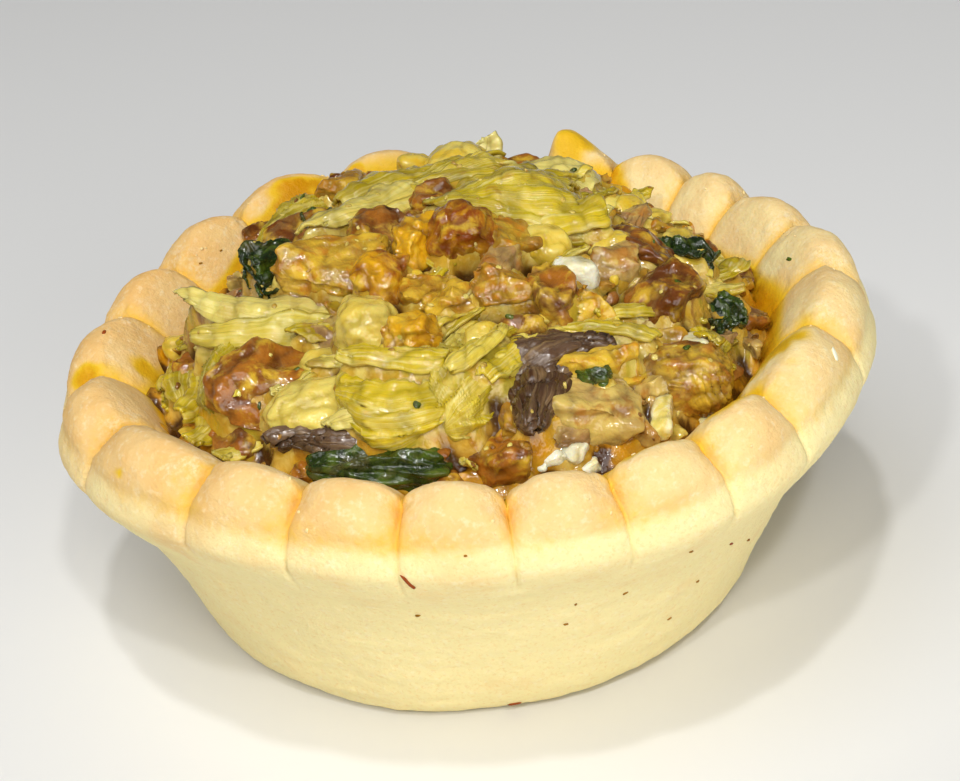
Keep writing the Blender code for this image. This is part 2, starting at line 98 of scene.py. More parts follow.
# Case outline at the middle of a lobe, from the base centre round the rim to the floor centre:
# radius, height, how far a groove draws it in, how far a groove drops it, share of the torn tip
CASE_OUTLINE = (
    (0.0, 0.0, 0.0, 0.0, 0.0),
    (BASE_RADIUS, 0.0, 0.0, 0.0, 0.0),
    (22.9, 0.5, 0.0, 0.0, 0.0),
    (24.2, 2.0, 0.0, 0.0, 0.0),
    (26.3, 8.0, 0.0, 0.0, 0.0),
    (29.0, 14.6, 0.0, 0.0, 0.0),
    (31.0, 17.4, 0.0, 0.0, 0.0),
    (32.3, 19.2, 0.3, 0.0, 0.0),
    (RIM_RADIUS, RIM_HEIGHT, 0.6, 0.1, 0.1),
    (32.8, 21.9, 0.7, 0.3, 0.2),
    (32.4, 22.9, 0.8, 0.4, 0.3),
    (32.2, 24.1, 1.1, 0.9, 0.6),
    (31.5, 25.5, 1.6, 1.8, 0.9),
    (30.2, CREST_HEIGHT, 0.9, 2.6, 1.0),
    (28.6, CREST_HEIGHT, -0.1, 1.8, 1.0),
    (26.4, 24.5, -0.35, 0.8, 0.5),
    (24.4, 21.4, -0.3, 0.2, 0.1),
    (22.7, 17.8, -0.2, 0.1, 0.0),
    (21.4, 13.0, 0.0, 0.0, 0.0),
    (18.8, 5.6, 0.0, 0.0, 0.0),
    (17.0, FLOOR_HEIGHT, 0.0, 0.0, 0.0),
    (0.0, FLOOR_HEIGHT, 0.0, 0.0, 0.0),
)
# How many steps each stretch of the outline gets: most where it shows
OUTLINE_STEPS = (3, 5, 5, 14, 15, 8, 6, 5, 5, 3, 5, 6, 6, 6, 9, 9, 9, 4, 3, 2, 2)
COLUMNS_PER_LOBE = 30
# The underside and the floor of the case are flat, and the foot's corner stays crisp
FLAT_ROWS = (0, 20)
LAST_CRISP_ROW = 2
WALL_ROW = 6
FLANGE_ROW = 8
CREASE_ROW = 10
CREST_ROW = 13
# The relief fades in over the foot and out towards the floor
FOOT_ROWS = (0.9, 2.0)
FLOOR_ROWS = (17.2, 18.0)
# How much closer together the columns stand near the grooves
COLUMN_BUNCHING = 0.35

# The heap, as in the part's source
HEAP_RADIUS = 24.2
HEAP_TOP = 30.4
HEAP_EDGE = 20.2
HEAP_BACK_RISE = 6.0
HEAP_BACK_ANGLE = math.radians(190.0)
HEAP_FRONT_RISE = 1.6
HEAP_FULLNESS = 0.75

# Pieces that show, each in millimetres and degrees:
# x, y, lift of its middle over the heap, (length, width, thickness), turn, lean, roll, how dark it is
MUSHROOMS = (
    (-16.2, -10.7, 1.0, (9.6, 7.6, 5.2), 35, 0, 14, 0.35),
    (-22.8, -1.7, 0.4, (3.6, 2.8, 2.2), 20, 0, 0, 0.7),
    (-17.9, 17.2, 1.2, (5.4, 2.4, 4.4), 62, 0, 0, 0.7),
    (-6.5, 4.3, 1.2, (5.4, 4.8, 4.4), -30, 0, 0, 0.5),
    (6.6, -7.7, 0.9, (6.6, 4.2, 4.4), -68, 0, 0, 0.4),
    (14.3, 0.7, 1.0, (9.0, 4.4, 4.4), -40, 0, 10, 0.75),
    (15.3, -6.5, 1.2, (7.4, 6.6, 5.4), -20, 0, 0, 0.85),
    (-10.3, 21.3, 1.0, (3.6, 2.8, 3.8), 70, 0, 0, 0.9),
    (-1.6, 9.6, 0.8, (4.6, 4.0, 3.6), 0, 0, 0, 0.6),
    (1.3, -21.8, 0.6, (7.2, 4.6, 4.0), 6, 0, 0, 0.5),
    (10.8, -22.0, 0.4, (4.2, 2.4, 2.4), 14, 0, 0, 0.3),
    (-3.2, -22.6, 0.5, (3.4, 2.2, 2.2), -10, 0, 0, 0.6),
    (-24.3, 11.5, 0.4, (2.8, 2.2, 2.4), 40, 0, 0, 0.8),
    (-2.5, 14.9, 0.7, (5.0, 4.0, 3.4), 20, 0, 0, 0.7),
    (-19.9, -12.2, 0.3, (3.0, 2.2, 1.6), 30, 0, 0, 0.6),
    (-13.5, 10.8, 0.9, (7.4, 5.6, 4.6), 30, 0, 0, 0.5),
    (6.2, 20.6, 0.3, (6.6, 5.2, 4.4), 15, 0, 0, 0.6),
    (-1.6, 24.4, -1.8, (5.2, 3.4, 4.6), 8, 0, 0, 0.6),
    (9.8, 22.6, -1.4, (5.2, 3.2, 4.4), -28, 0, 0, 0.7),
)
GILLED = ((15.8, -14.6, 0.9, (8.4, 6.4, 5.0), -12, 0, 0, 0.4),)
DARK_SLICES = (
    (6.3, -15.0, 1.3, (8.4, 3.8, 2.2), 188, -4, -10, 0.25),
    (4.3, -18.4, 1.4, (7.6, 3.6, 2.4), 82, 6, 0, 0.75),
    (-10.8, -18.0, 0.9, (10.6, 3.6, 2.0), -8, 0, 8, 0.0),
)
BROWNED = (
    (-3.4, -0.4, 1.5, (6.8, 4.4, 5.2), 72, 0, 0, 0.0),
    (0.2, -0.9, 1.6, (6.2, 6.8, 5.8), 10, 0, 16, 0.85),
    (-6.4, -4.4, 1.2, (6.0, 5.2, 4.4), 40, 0, 0, 0.5),
    (-4.4, -12.2, 1.1, (5.2, 4.8, 4.6), 20, 0, 0, 0.4),
)
GOLDEN = (
    (-9.7, -1.1, 1.0, (11.0, 7.2, 4.6), 6, -4, 14, 0.35),
    (3.6, -1.4, 1.2, (6.0, 4.6, 5.0), -66, 0, 0, 0.7),
    (3.0, -7.6, 1.2, (5.0, 4.8, 4.6), 15, 0, 0, 0.6),
    (9.1, -15.2, 1.2, (7.4, 5.6, 4.0), 10, 0, 0, 0.05),
    (-3.1, -6.4, 0.8, (4.2, 3.6, 3.4), 0, 0, 0, 0.4),
    (-1.0, -8.1, 0.7, (4.8, 3.8, 3.4), -20, 0, 0, 0.4),
    (9.0, -9.2, 0.7, (4.8, 4.2, 3.6), 0, 0, 0, 0.5),
    (-9.0, 18.4, 0.9, (6.6, 5.6, 4.6), -20, 0, 0, 0.5),
    (12.6, 15.2, 0.2, (4.6, 3.4, 3.0), -40, 0, 0, 0.3),
    (5.4, 24.0, -2.2, (5.4, 3.4, 4.8), -10, 0, 0, 0.4),
    (-10.0, 22.6, -1.4, (4.8, 3.4, 4.2), 28, 0, 0, 0.3),
)
CHEESE = (
    (-12.7, -14.8, 0.8, (7.8, 6.4, 4.4), -10, 0, 8, 0.05),
    (-8.0, -9.4, 1.2, (5.6, 6.2, 5.0), 0, 0, 0, 0.15),
    (6.5, -1.3, 0.8, (4.6, 4.0, 3.6), 0, 0, 0, 0.5),
    (12.2, 0.0, 0.6, (4.2, 3.6, 3.2), 30, 0, 0, 0.5),
    (1.0, -12.6, 0.6, (3.4, 3.2, 3.0), 0, 0, 0, 0.5),
    (0.4, 20.6, 0.8, (6.0, 5.6, 4.4), 0, 0, 0, 0.4),
    (-5.8, 24.0, -1.8, (5.0, 3.4, 4.4), 16, 0, 0, 0.4),
)
CREAM_CHUNKS = (
    (8.7, -18.6, 1.1, (7.8, 5.4, 5.0), -6, 0, 0, 0.15),
    (6.4, -20.6, 0.6, (4.0, 3.0, 3.0), 30, 0, 0, 0.8),
    (3.2, -4.9, 1.0, (4.4, 3.4, 3.6), 60, 0, 0, 0.7),
    (12.4, -2.4, 1.0, (4.4, 3.4, 3.4), 10, 0, 0, 0.4),
    (2.0, 25.0, -2.6, (4.4, 3.0, 4.2), 0, 0, 0, 0.5),
)
WHITE_BITS = (
    (8.8, -5.5, 1.4, (3.9, 2.7, 2.8), -15, 0, 0, 0.0),
    (5.2, -21.9, 0.8, (2.2, 1.5, 1.5), 20, 0, 20, 0.0),
    (6.6, -21.6, 1.0, (2.4, 1.8, 1.8), -30, 0, -20, 0.0),
    (7.8, -22.2, 0.7, (1.8, 1.3, 1.2), 10, 20, 0, 0.1),
    (5.8, -21.2, 1.5, (1.3, 1.0, 0.9), 40, 0, 0, 0.0),
    (4.2, -22.4, 0.9, (1.2, 0.9, 0.8), 80, 0, 0, 0.1),
    (7.2, -21.2, 1.4, (1.4, 1.0, 0.9), 15, 0, 20, 0.0),
    (6.2, -22.9, 0.7, (1.7, 1.2, 1.0), 60, 0, 0, 0.2),
    (13.9, -18.2, 1.7, (5.4, 1.8, 1.8), 78, 6, 0, 0.75),
    (16.9, -16.7, 0.6, (2.6, 1.7, 1.7), -20, 0, 0, 0.4),
    (17.2, -11.2, 1.1, (2.6, 2.3, 2.3), 10, 0, 0, 0.4),
    (0.5, -14.0, 0.9, (2.2, 1.6, 1.6), 50, 0, 0, 0.5),
)
LEEK_BUNDLES = (
    (-6.4, -17.0, 1.2, (9.8, 7.4, 5.0), -10, -8, 8, 0.0),
    (0.1, -17.5, 1.2, (8.6, 6.6, 5.0), 42, 14, 0, -0.1),
    (-14.1, 15.5, 0.8, (8.8, 5.2, 4.2), 38, 0, 0, 0.7),
    (-19.4, -8.0, 0.9, (7.6, 4.4, 3.6), 48, 0, 20, 0.8),
)
LEEK_FOLDS = (
    (4.3, 5.2, 1.0, (11.4, 9.0, 5.4), -12, 0, 0, 0.4),
    (0.6, 13.6, 0.2, (9.6, 6.4, 4.4), 24, 0, 0, 0.6),
)
LEEK_STRIPS = (
    (-25.2, -1.7, 0.6, (6.6, 2.4, 0.4), 78, 0, 30, 0.6),
    (-24.5, 0.2, 0.6, (7.0, 2.0, 0.4), 62, 0, -20, 0.6),
    (-3.7, 13.4, 1.0, (13.0, 4.6, 0.7), 14, 0, 0, 0.6),
    (-7.4, 8.2, 1.7, (10.5, 4.4, 0.7), 42, 0, 10, -0.5),
    (5.6, 13.9, 1.2, (8.6, 4.8, 0.8), -22, 0, 0, 0.7),
    (9.4, 17.0, 1.0, (8.4, 5.0, 0.6), -48, 0, 0, -0.7),
    (9.0, 1.2, 2.1, (6.8, 4.4, 0.6), 24, 8, 14, -0.1),
    (10.5, -11.9, 1.2, (8.0, 2.2, 0.6), -12, 0, 0, 0.6),
    (12.0, -9.8, 1.1, (6.5, 2.0, 0.6), 12, 0, 0, 0.6),
    (19.6, -9.6, 0.6, (4.6, 2.0, 0.5), 74, 0, 10, 0.9),
    (-22.6, -6.8, 1.0, (6.5, 2.8, 0.5), 70, 0, 20, 0.6),
    (-21.2, -11.0, 1.0, (6.0, 3.0, 0.5), 58, 0, 10, 0.4),
    (-24.0, -3.4, 0.9, (5.4, 2.6, 0.5), 84, 0, -10, 0.8),
    (-18.6, -14.6, 0.9, (5.4, 2.2, 0.5), 35, 0, 0, -0.3),
    (-6.2, -15.2, 3.2, (8.6, 2.2, 0.5), -16, 0, 24, -0.1),
    (0.4, -16.4, 3.6, (7.0, 2.0, 0.5), 52, 0, 0, -0.3),
    (2.3, -16.3, 2.3, (5.8, 2.8, 0.5), 62, 0, 12, -0.1),
    (-7.6, -18.9, 2.6, (8.0, 1.8, 0.5), -8, 0, 40, -0.6),
)
LEEK_POINTED = (
    (-16.8, -3.2, 1.8, (14.2, 5.4, 0.5), -20, -2, 16, -0.6),
    (-16.4, -5.3, 1.5, (12.4, 4.2, 0.5), -16, -2, 30, -0.35),
    (3.4, 24.2, 0.5, (6.6, 6.0, 0.6), -90, -75, 0, -0.9),
)
LEEK_RING = ((-1.1, -13.6, 0.9, (4.6, 3.6, 3.0), 30, 0, 0, 0.5),)
SPINACH_LEAVES = (
    (-15.0, 1.5, 2.1, (6.2, 5.4, 3.6), 20, 0, 0, 0.5),
    (18.1, 1.3, 0.8, (7.2, 4.2, 3.2), -52, 0, 0, 0.7),
    (20.2, -5.4, 0.7, (5.0, 3.4, 2.8), -60, 0, 0, 0.8),
    (-11.9, 12.5, 0.8, (3.4, 2.8, 2.4), 0, 0, 0, 0.5),
)
SPINACH_ROLL = (
    (-8.0, -20.9, 0.9, (11.4, 4.4, 4.0), -9, -3, 0, 0.45),
    (8.9, -17.3, 2.6, (3.1, 1.8, 1.3), -34, 0, 0, 0.3),
)


def metres(name, words, value):
    """One length property, in metres."""
    return bpy.props.FloatProperty(name=name, description=words, default=value, unit="LENGTH", precision=5)


def how_many(name, words, value):
    """One property that counts pieces."""
    return bpy.props.IntProperty(name=name, description=words, default=value, min=0)


def watts(name, words, value):
    """One property for a light's power."""
    return bpy.props.FloatProperty(name=name, description=words, default=value, unit="POWER")


def colour(name, words, value):
    """One colour property."""
    return bpy.props.FloatVectorProperty(
        name=name, description=words, default=(*value, 1.0), size=4, subtype="COLOR", min=0.0, max=1.0
    )


class TartletSizes(bpy.types.PropertyGroup):
    """Sizes that a user would change."""

    crumb_depth: metres("Crumb", "Depth of the crust's fine crumb", 0.00009)
    hand_depth: metres("Hand marks", "Depth of the marks left by pressing", 0.00016)
    shred_count: how_many("Leek shreds", "How many small shreds of leek lie on the heap", 70)
    filler_count: how_many("Small pieces", "How many small pieces lie between the large ones", 340)
    crumb_count: how_many("Crumbs", "How many crumbs lie on the heap", 110)
    leek_thickness: metres("Leek thickness", "Thickness of one layer of leek", 0.00034)
    leaf_thickness: metres("Leaf thickness", "Thickness of a spinach leaf", 0.00025)


class TartletColours(bpy.types.PropertyGroup):
    """Colours that a user would change."""

    crust_pale: colour("Pale crust", "The wall and the flange", (0.930, 0.790, 0.390))
    # On the left side this is partly painted shade as well
    crust_warm: colour("Warm crust", "The lobes of the rim", (0.880, 0.620, 0.270))
    crust_peach: colour("Peach crust", "Lobes that baked further", (0.820, 0.490, 0.165))
    crust_flour: colour("Floury crust", "The palest crumbs", (0.97, 0.87, 0.60))
    egg: colour("Egg", "Yellow egg baked onto the rim", (0.840, 0.520, 0.018))
    crust_gold: colour("Golden crust", "Creases and grooves", (0.850, 0.510, 0.075))
    crust_brown: colour("Browned specks", "The most baked crumbs", (0.300, 0.060, 0.010))
    juice: colour("Juice", "Golden juice on the crust and round the filling", (0.640, 0.280, 0.001))
    coat_main: colour("Coating", "Melted cheese and egg between the pieces", (0.580, 0.350, 0.030))
    coat_light: colour("Light coating", "Creamy patches of the coating", (0.780, 0.610, 0.145))
    coat_olive: colour("Olive coating", "Coating stained by the leek", (0.400, 0.330, 0.012))
    coat_milky: colour("Milky film", "Thin cooked cream over the pieces", (0.540, 0.430, 0.170))
    coat_brown: colour("Brown coating", "Coating stained by the mushrooms", (0.280, 0.115, 0.012))
    # Painted shade for the deep gaps between the pieces and the creases of the coating
    hollow: colour("Hollows", "Deep gaps between the pieces", (0.045, 0.014, 0.003))
    mushroom_light: colour("Light mushroom", "Pink-brown cut faces", (0.410, 0.145, 0.013))
    # Also painted shade in the creases of the coating
    mushroom_dark: colour("Dark mushroom", "Browned skins", (0.140, 0.038, 0.005))
    slice_light: colour("Grey mushroom", "Greyish stripes of the dark slice", (0.300, 0.190, 0.085))
    slice_purple: colour("Dull purple mushroom", "Most of the dark slice", (0.120, 0.068, 0.038))
    slice_dark: colour("Purple mushroom", "Dark stripes of the dark slice", (0.065, 0.025, 0.008))
    browned_light: colour("Golden cheese", "Lighter part of the browned cheese", (0.720, 0.370, 0.008))
    browned_dark: colour("Browned cheese", "Darker part of the browned cheese", (0.240, 0.055, 0.005))
    golden_light: colour("Light golden", "Lighter part of the coated pieces", (0.720, 0.460, 0.035))
    orange: colour("Orange", "Orange-red parts of the coated pieces", (0.540, 0.185, 0.006))
    golden_dark: colour("Dark golden", "Darker part of the coated pieces", (0.360, 0.170, 0.015))
    cream_light: colour("Cream", "Lighter part of the creamy chunks", (0.680, 0.490, 0.120))
    cream_dark: colour("Dull pink", "Darker part of the creamy chunks", (0.36, 0.20, 0.075))
    cheese_light: colour("Light cheese", "Paler part of the soft cheese", (0.800, 0.640, 0.140))
    cheese_dark: colour("Deep cheese", "Deeper part of the soft cheese", (0.720, 0.470, 0.025))
    white_light: colour("White bits", "Small white pieces", (0.950, 0.930, 0.720))
    # Partly the leek's pale fibres, partly a painted highlight along their ridges
    leek_light: colour("Leek highlights", "Pale fibres", (0.820, 0.710, 0.245))
    leek_yellow: colour("Yellow leek", "Most of the leek", (0.640, 0.460, 0.012))
    leek_green: colour("Green leek", "Olive leek", (0.380, 0.280, 0.006))
    # On the spinach, partly lighter stripes and partly a painted highlight
    spinach_light: colour("Light spinach", "Lighter stripes", (0.075, 0.120, 0.010))
    spinach_dark: colour("Dark spinach", "Most of the leaf", (0.010, 0.022, 0.003))
    floor: colour("Floor", "The plain floor", (0.80, 0.80, 0.79))


class TartletLight(bpy.types.PropertyGroup):
    """The stage."""

    key_power: watts("Key", "Power of the main light", 0.6)
    fill_power: watts("Front", "Power of the front light", 1.9)
    top_power: watts("Top", "Power of the top light", 0.85)
    glint_power: watts("Glints", "Power of each small light for the wet glints", 0.7)
    room: bpy.props.FloatProperty(name="Room", description="Strength of the light all round", default=0.08)


# Shared helpers

# The usual numbers for a repeatable random value from a whole-numbered cell
CELL_MIX = (12.9898, 78.233, 37.719)
CELL_STRETCH = 43758.5453
SEED_STEP = 7.31
VALLEY_WIDTH = 0.4
MERGE_DISTANCE = 0.0005


def eased(share):
    """A share from 0 to 1 with a smooth start and end."""
    return share * share * (3 - 2 * share)


def smooth_step(value, low, high):
    """0 below low, 1 above high, and smooth between."""
    return eased(np.clip((np.asarray(value, float) - low) / (high - low), 0.0, 1.0))


def random_field(points, size, seed):
    """A smooth random value from -1 to 1 at each point, with features of about this size."""
    cell = points / size + seed * SEED_STEP
    whole = np.floor(cell)
    share = eased(cell - whole)
    total = np.zeros(len(points))
    for corner in itertools.product((0, 1), repeat=3):
        value = np.sin((whole + corner) @ CELL_MIX) * CELL_STRETCH
        weight = np.prod(np.where(corner, share, 1 - share), axis=1)
        total += (value - np.floor(value)) * weight
    return 2 * total - 1


def valleys(points, size, seed):
    """Thin branching valleys between clumps of about this size: 1 in the middle of one, 0 outside."""
    return np.clip(1 - np.abs(random_field(points, size, seed)) / VALLEY_WIDTH, 0, 1) ** 2


def bell(value):
    """1 at 0, and falling smoothly to nearly 0 at 2 on either side."""
    return np.exp(-(value**2))


def deselect():
    """Nothing is selected, so that an operator acts on the new piece alone."""
    bpy.ops.object.select_all(action="DESELECT")


def pick(piece):
    """Only this piece is selected and active."""
    deselect()
    piece.select_set(True)
    bpy.context.view_layer.objects.active = piece


def get_points(piece):
    """The piece's points as an array."""
    points = np.empty(len(piece.data.vertices) * 3)
    piece.data.vertices.foreach_get("co", points)
    return points.reshape(-1, 3)


def set_points(piece, points):
    """Move the piece's points."""
    piece.data.vertices.foreach_set("co", np.ascontiguousarray(points, dtype=float).ravel())
    piece.data.update()


def apply_all(piece):
    """Apply the piece's modifiers in order."""
    pick(piece)
    for modifier in list(piece.modifiers):
        bpy.ops.object.modifier_apply(modifier=modifier.name)


def note_values(piece, name, values):
    """Keep one number for each point of the piece, for its material."""
    attribute = piece.data.attributes.get(name) or piece.data.attributes.new(name, "FLOAT", "POINT")
    attribute.data.foreach_set("value", np.ascontiguousarray(values, dtype=np.float32))


def outward(piece):
    """Merge points nearer than half a micron, and turn every face outwards."""
    pick(piece)
    bpy.ops.object.mode_set(mode="EDIT")
    bpy.ops.mesh.select_all(action="SELECT")
    bpy.ops.mesh.remove_doubles(threshold=MERGE_DISTANCE)
    bpy.ops.mesh.normals_make_consistent(inside=False)
    bpy.ops.object.mode_set(mode="OBJECT")


def clouds(piece, size, depth):
    """Push the surface in and out by cloud noise of this size, and apply it."""
    texture = bpy.data.textures.new("clouds", "CLOUDS")
    texture.noise_scale = size
    texture.noise_depth = 2
    push = piece.modifiers.new("Clouds", "DISPLACE")
    push.texture = texture
    push.texture_coords = "GLOBAL"
    push.strength = depth
    push.mid_level = 0.5
    apply_all(piece)
    bpy.data.textures.remove(texture)


def crease(piece, size, depth):
    """Fold thin valleys into the surface, as between clumps, and note where they are."""
    points = get_points(piece)
    normals = np.empty(points.size)
    piece.data.vertices.foreach_get("normal", normals)
    valley = valleys(points, size, 9)
    set_points(piece, points - normals.reshape(-1, 3) * (depth * valley)[:, None])
    note_values(piece, "crease", valley)


def settle(piece, material, slot, node):
    """Bring a finished mesh to metres and to its place, give it its material, hang it on the root body and
    hide the imported part that it replaces; pieces of the filling are kept among those laid.
    """
    if slot == "filling":
        LAID.append(piece)
    place = Matrix.Diagonal((MM, MM, MM, 1.0)) @ Matrix.Translation((-CASE_CENTRE[0], -CASE_CENTRE[1], 0.0))
    piece.data.transform(place)
    piece.data.materials.clear()
    piece.data.materials.append(material)
    pick(piece)
    bpy.ops.object.shade_smooth()
    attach(piece, "root")
    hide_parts(node)


# The rim's own shape, as in the part's source


def groove_angle(index):
    """Angle of groove number index, counted from the front left."""
    turns, place = divmod(index, LOBES)
    even = GROOVE_START + 2 * math.pi * (place - GROOVE_LEAD) / LOBES
    return even + math.radians(GROOVE_SHIFT[place]) + 2 * math.pi * turns


def wave(angle, waves):
    """Sum of cosine waves round the rim."""
    return sum(size * np.cos(count * angle - math.radians(peak)) for count, size, peak in waves)


def angle_from(angle, middle):
    """How far an angle is from another, from minus to plus half a turn."""
    return (angle - middle + math.pi) % (2 * math.pi) - math.pi


def rim_level(angle):
    """How much the rim rises or sinks at this angle."""
    away = angle_from(angle, RIM_DIP_ANGLE)
    return wave(angle, RIM_RISE) - RIM_DIP * bell(away / RIM_DIP_SPREAD)


def rim_points(radius, height, angle):
    """Points of the case, with the rim's sway and rise."""
    full = np.minimum(1.0, height / FULL_SWAY_HEIGHT)
    reach = radius * (1 + (BASE_SWAY_SHARE + (1 - BASE_SWAY_SHARE) * full) * wave(angle, RIM_SWAY))
    level = height + np.clip(height / RIM_HEIGHT, 0, 1) ** 2 * rim_level(angle)
    x = reach * np.sin(angle) + (1 - full) * BASE_SHIFT[0]
    y = (1 - full) * BASE_SHIFT[1] - reach * np.cos(angle)
    return np.stack([x, y, level], axis=-1)


def heap_edge_radius(angle):
    """How far out the heap reaches at this angle."""
    return HEAP_RADIUS * (1 + wave(angle, RIM_SWAY))


def heap_edge_height(angle):
    """How high the heap's edge stands at this angle."""
    front = np.maximum(0.0, np.cos(angle))
    back = np.maximum(0.0, np.cos(angle - HEAP_BACK_ANGLE))
    return HEAP_EDGE + HEAP_FRONT_RISE * front**2 + HEAP_BACK_RISE * back**3


def heap_height(x, y):
    """Height of the bare heap over a point."""
    angle = np.arctan2(x, -np.asarray(y))
    share = np.minimum(1.0, np.hypot(x, y) / heap_edge_radius(angle))
    edge = heap_edge_height(angle)
    return edge + (HEAP_TOP - edge) * (1 - share**2) ** HEAP_FULLNESS


# Materials

# The mix node's sockets for colours, which share their names with those for numbers
MIX_SHARE, MIX_FIRST, MIX_SECOND, MIX_RESULT = 0, 6, 7, 2
COAT_ROUGHNESS = 0.1
COAT_IOR = 1.5
SKIN_COLOUR_REACH = (1.0, 0.6, 0.25)
SKIN_DEPTH = 1.0 * MM
# How dark the painted shade in the creases and in the grooves between threads is, as a share of the dark
# colour
CREASE_SHADE = 0.45


def darkened(tint):
    """A much darker tone of a colour, for painted shade."""
    return [CREASE_SHADE * part for part in tint[:3]] + [1.0]


class Paint:
    """A node-based material that is built up in a few calls. Patterns use Object coordinates."""

    def __init__(self, name):
        self.material = bpy.data.materials.new(name)
        self.material.use_nodes = True
        self.tree = self.material.node_tree
        self.shader = self.tree.nodes["Principled BSDF"]
        self.place = self.tree.nodes.new("ShaderNodeTexCoord").outputs["Object"]

    def node(self, kind, **values):
        """A new node with its settings."""
        made = self.tree.nodes.new(kind)
        for name, value in values.items():
            setattr(made, name, value)
        return made

    def link(self, source, target):
        """Link one node's output to another's input."""
        self.tree.links.new(source, target)

    def feed(self, socket, value):
        """Link a socket, or set it to a constant."""
        if isinstance(value, bpy.types.NodeSocket):
            self.link(value, socket)
        else:
            socket.default_value = value

    def noise_at(self, place, scale, detail=4.0, rough=0.55, twist=0.0):
        """Noise over any coordinates."""
        made = self.node("ShaderNodeTexNoise")
        made.inputs["Scale"].default_value = scale
        made.inputs["Detail"].default_value = detail
        made.inputs["Roughness"].default_value = rough
        made.inputs["Distortion"].default_value = twist
        self.link(place, made.inputs["Vector"])
        return made.outputs["Fac"]

    def noise(self, size_mm, *settings):
        """Noise with features of about this size: then detail, roughness and twist."""
        return self.noise_at(self.place, 1.0 / (size_mm * MM), *settings)

    def value(self, name):
        """A number kept on the piece's points."""
        return self.node("ShaderNodeAttribute", attribute_name=name).outputs["Fac"]

    def math(self, operation, first, second):
        """Two values added, multiplied or compared."""
        made = self.node("ShaderNodeMath", operation=operation)
        self.feed(made.inputs[0], first)
        self.feed(made.inputs[1], second)
        return made.outputs[0]

    def span(self, value, low, high, out_low=0.0, out_high=1.0):
        """Spread a range of values over another, smoothly."""
        made = self.node("ShaderNodeMapRange", interpolation_type="SMOOTHSTEP")
        for socket, given in zip(made.inputs, (value, low, high, out_low, out_high)):
            self.feed(socket, given)
        return made.outputs[0]

    def mix(self, share, first, second):
        """The first colour where the share is 0, and the second where it is 1."""
        made = self.node("ShaderNodeMix", data_type="RGBA")
        self.feed(made.inputs[MIX_SHARE], share)
        self.feed(made.inputs[MIX_FIRST], first)
        self.feed(made.inputs[MIX_SECOND], second)
        return made.outputs[MIX_RESULT]

    def bump(self, height, strength, distance_mm, under=None):
        """Fine relief, laid over any relief under it."""
        made = self.node("ShaderNodeBump")
        made.inputs["Strength"].default_value = strength
        made.inputs["Distance"].default_value = distance_mm * MM
        self.link(height, made.inputs["Height"])
        if under is not None:
            self.link(under, made.inputs["Normal"])
        return made.outputs["Normal"]

    def finish(self, base, rough, normal, coat=0.0, skin=0.0, shine=0.1):
        """Set the shader's own sockets."""
        inputs = self.shader.inputs
        self.feed(inputs["Base Color"], base)
        self.feed(inputs["Roughness"], rough)
        self.link(normal, inputs["Normal"])
        self.link(normal, inputs["Coat Normal"])
        inputs["Specular IOR Level"].default_value = shine
        inputs["Coat Weight"].default_value = coat
        inputs["Coat Roughness"].default_value = COAT_ROUGHNESS
        inputs["Coat IOR"].default_value = COAT_IOR
        inputs["Subsurface Weight"].default_value = skin
        inputs["Subsurface Radius"].default_value = SKIN_COLOUR_REACH
        inputs["Subsurface Scale"].default_value = SKIN_DEPTH
        return self.material


def crust_material(tints):
    """Baked shortcrust: pale wall, warm lobes, golden creases, juice stains and fine crumb."""
    paint = Paint("baked_crust")
    fine = paint.noise(0.7, 5.0, 0.65)
    drift = paint.span(paint.noise(5.0, 3.0), 0.35, 0.75, -0.2, 0.3)
    warmth = paint.math("ADD", paint.value("warm"), drift)
    base = paint.mix(paint.span(warmth, 0.0, 0.8), tints.crust_pale, tints.crust_warm)
    base = paint.mix(paint.span(warmth, 0.6, 1.5), base, tints.crust_peach)
    pale_grain = paint.span(paint.noise(0.55, 2.0), 0.5, 0.8, 0.0, 0.4)
    base = paint.mix(pale_grain, base, tints.crust_flour)
    warm_grain = paint.span(paint.noise(0.35, 3.0, 0.7), 0.3, 0.5, 0.3, 0.0)
    base = paint.mix(warm_grain, base, tints.crust_peach)
    gold = paint.math("ADD", paint.value("toast"), paint.span(fine, 0.3, 0.8, -0.15, 0.2))
    base = paint.mix(paint.span(gold, 0.1, 1.0), base, tints.crust_gold)
    speck = paint.span(paint.noise(1.1, 3.0, 0.7), 0.62, 0.76, 0.0, 0.5)
    base = paint.mix(paint.math("MULTIPLY", speck, paint.value("warm")), base, tints.crust_peach)
    dust = paint.span(paint.noise(0.5, 4.0, 0.75), 0.4, 0.66)
    flour = paint.math("MULTIPLY", paint.value("flour"), dust)
    base = paint.mix(paint.math("MULTIPLY", flour, 0.45), base, tints.crust_flour)
    patchy = paint.span(paint.noise(1.6, 4.0), 0.2, 0.5, 0.75, 1.0)
    stain = paint.math("MULTIPLY", paint.value("juice"), patchy)
    egg = paint.mix(paint.span(stain, 0.45, 1.0), tints.egg, tints.juice)
    base = paint.mix(paint.span(stain, 0.0, 0.6), base, egg)
    crumb = paint.bump(fine, 0.45, 0.3)
    grain = paint.bump(paint.noise(0.28, 3.0), 0.5, 0.12, crumb)
    rough = paint.span(paint.value("juice"), 0.0, 1.0, 0.8, 0.4)
    return paint.finish(base, rough, grain, skin=0.1, shine=0.2)


def fleck_material(tints):
    """Baked-on bits: browned crumb, onion skin, herb, white crumb and flour."""
    paint = Paint("baked_flecks")
    browned = paint.span(paint.noise(0.4, 3.0), 0.35, 0.65)
    base = paint.mix(browned, tints.golden_dark, tints.coat_brown)
    base = paint.mix(paint.value("red"), base, tints.crust_brown)
    base = paint.mix(paint.value("green"), base, tints.spinach_light)
    base = paint.mix(paint.value("white"), base, tints.white_light)
    crumb = paint.mix(paint.noise(0.9), tints.crust_pale, tints.crust_warm)
    base = paint.mix(paint.value("flour"), base, crumb)
    return paint.finish(base, 0.5, paint.bump(paint.noise(0.3, 3.0), 0.4, 0.15), skin=0.05)


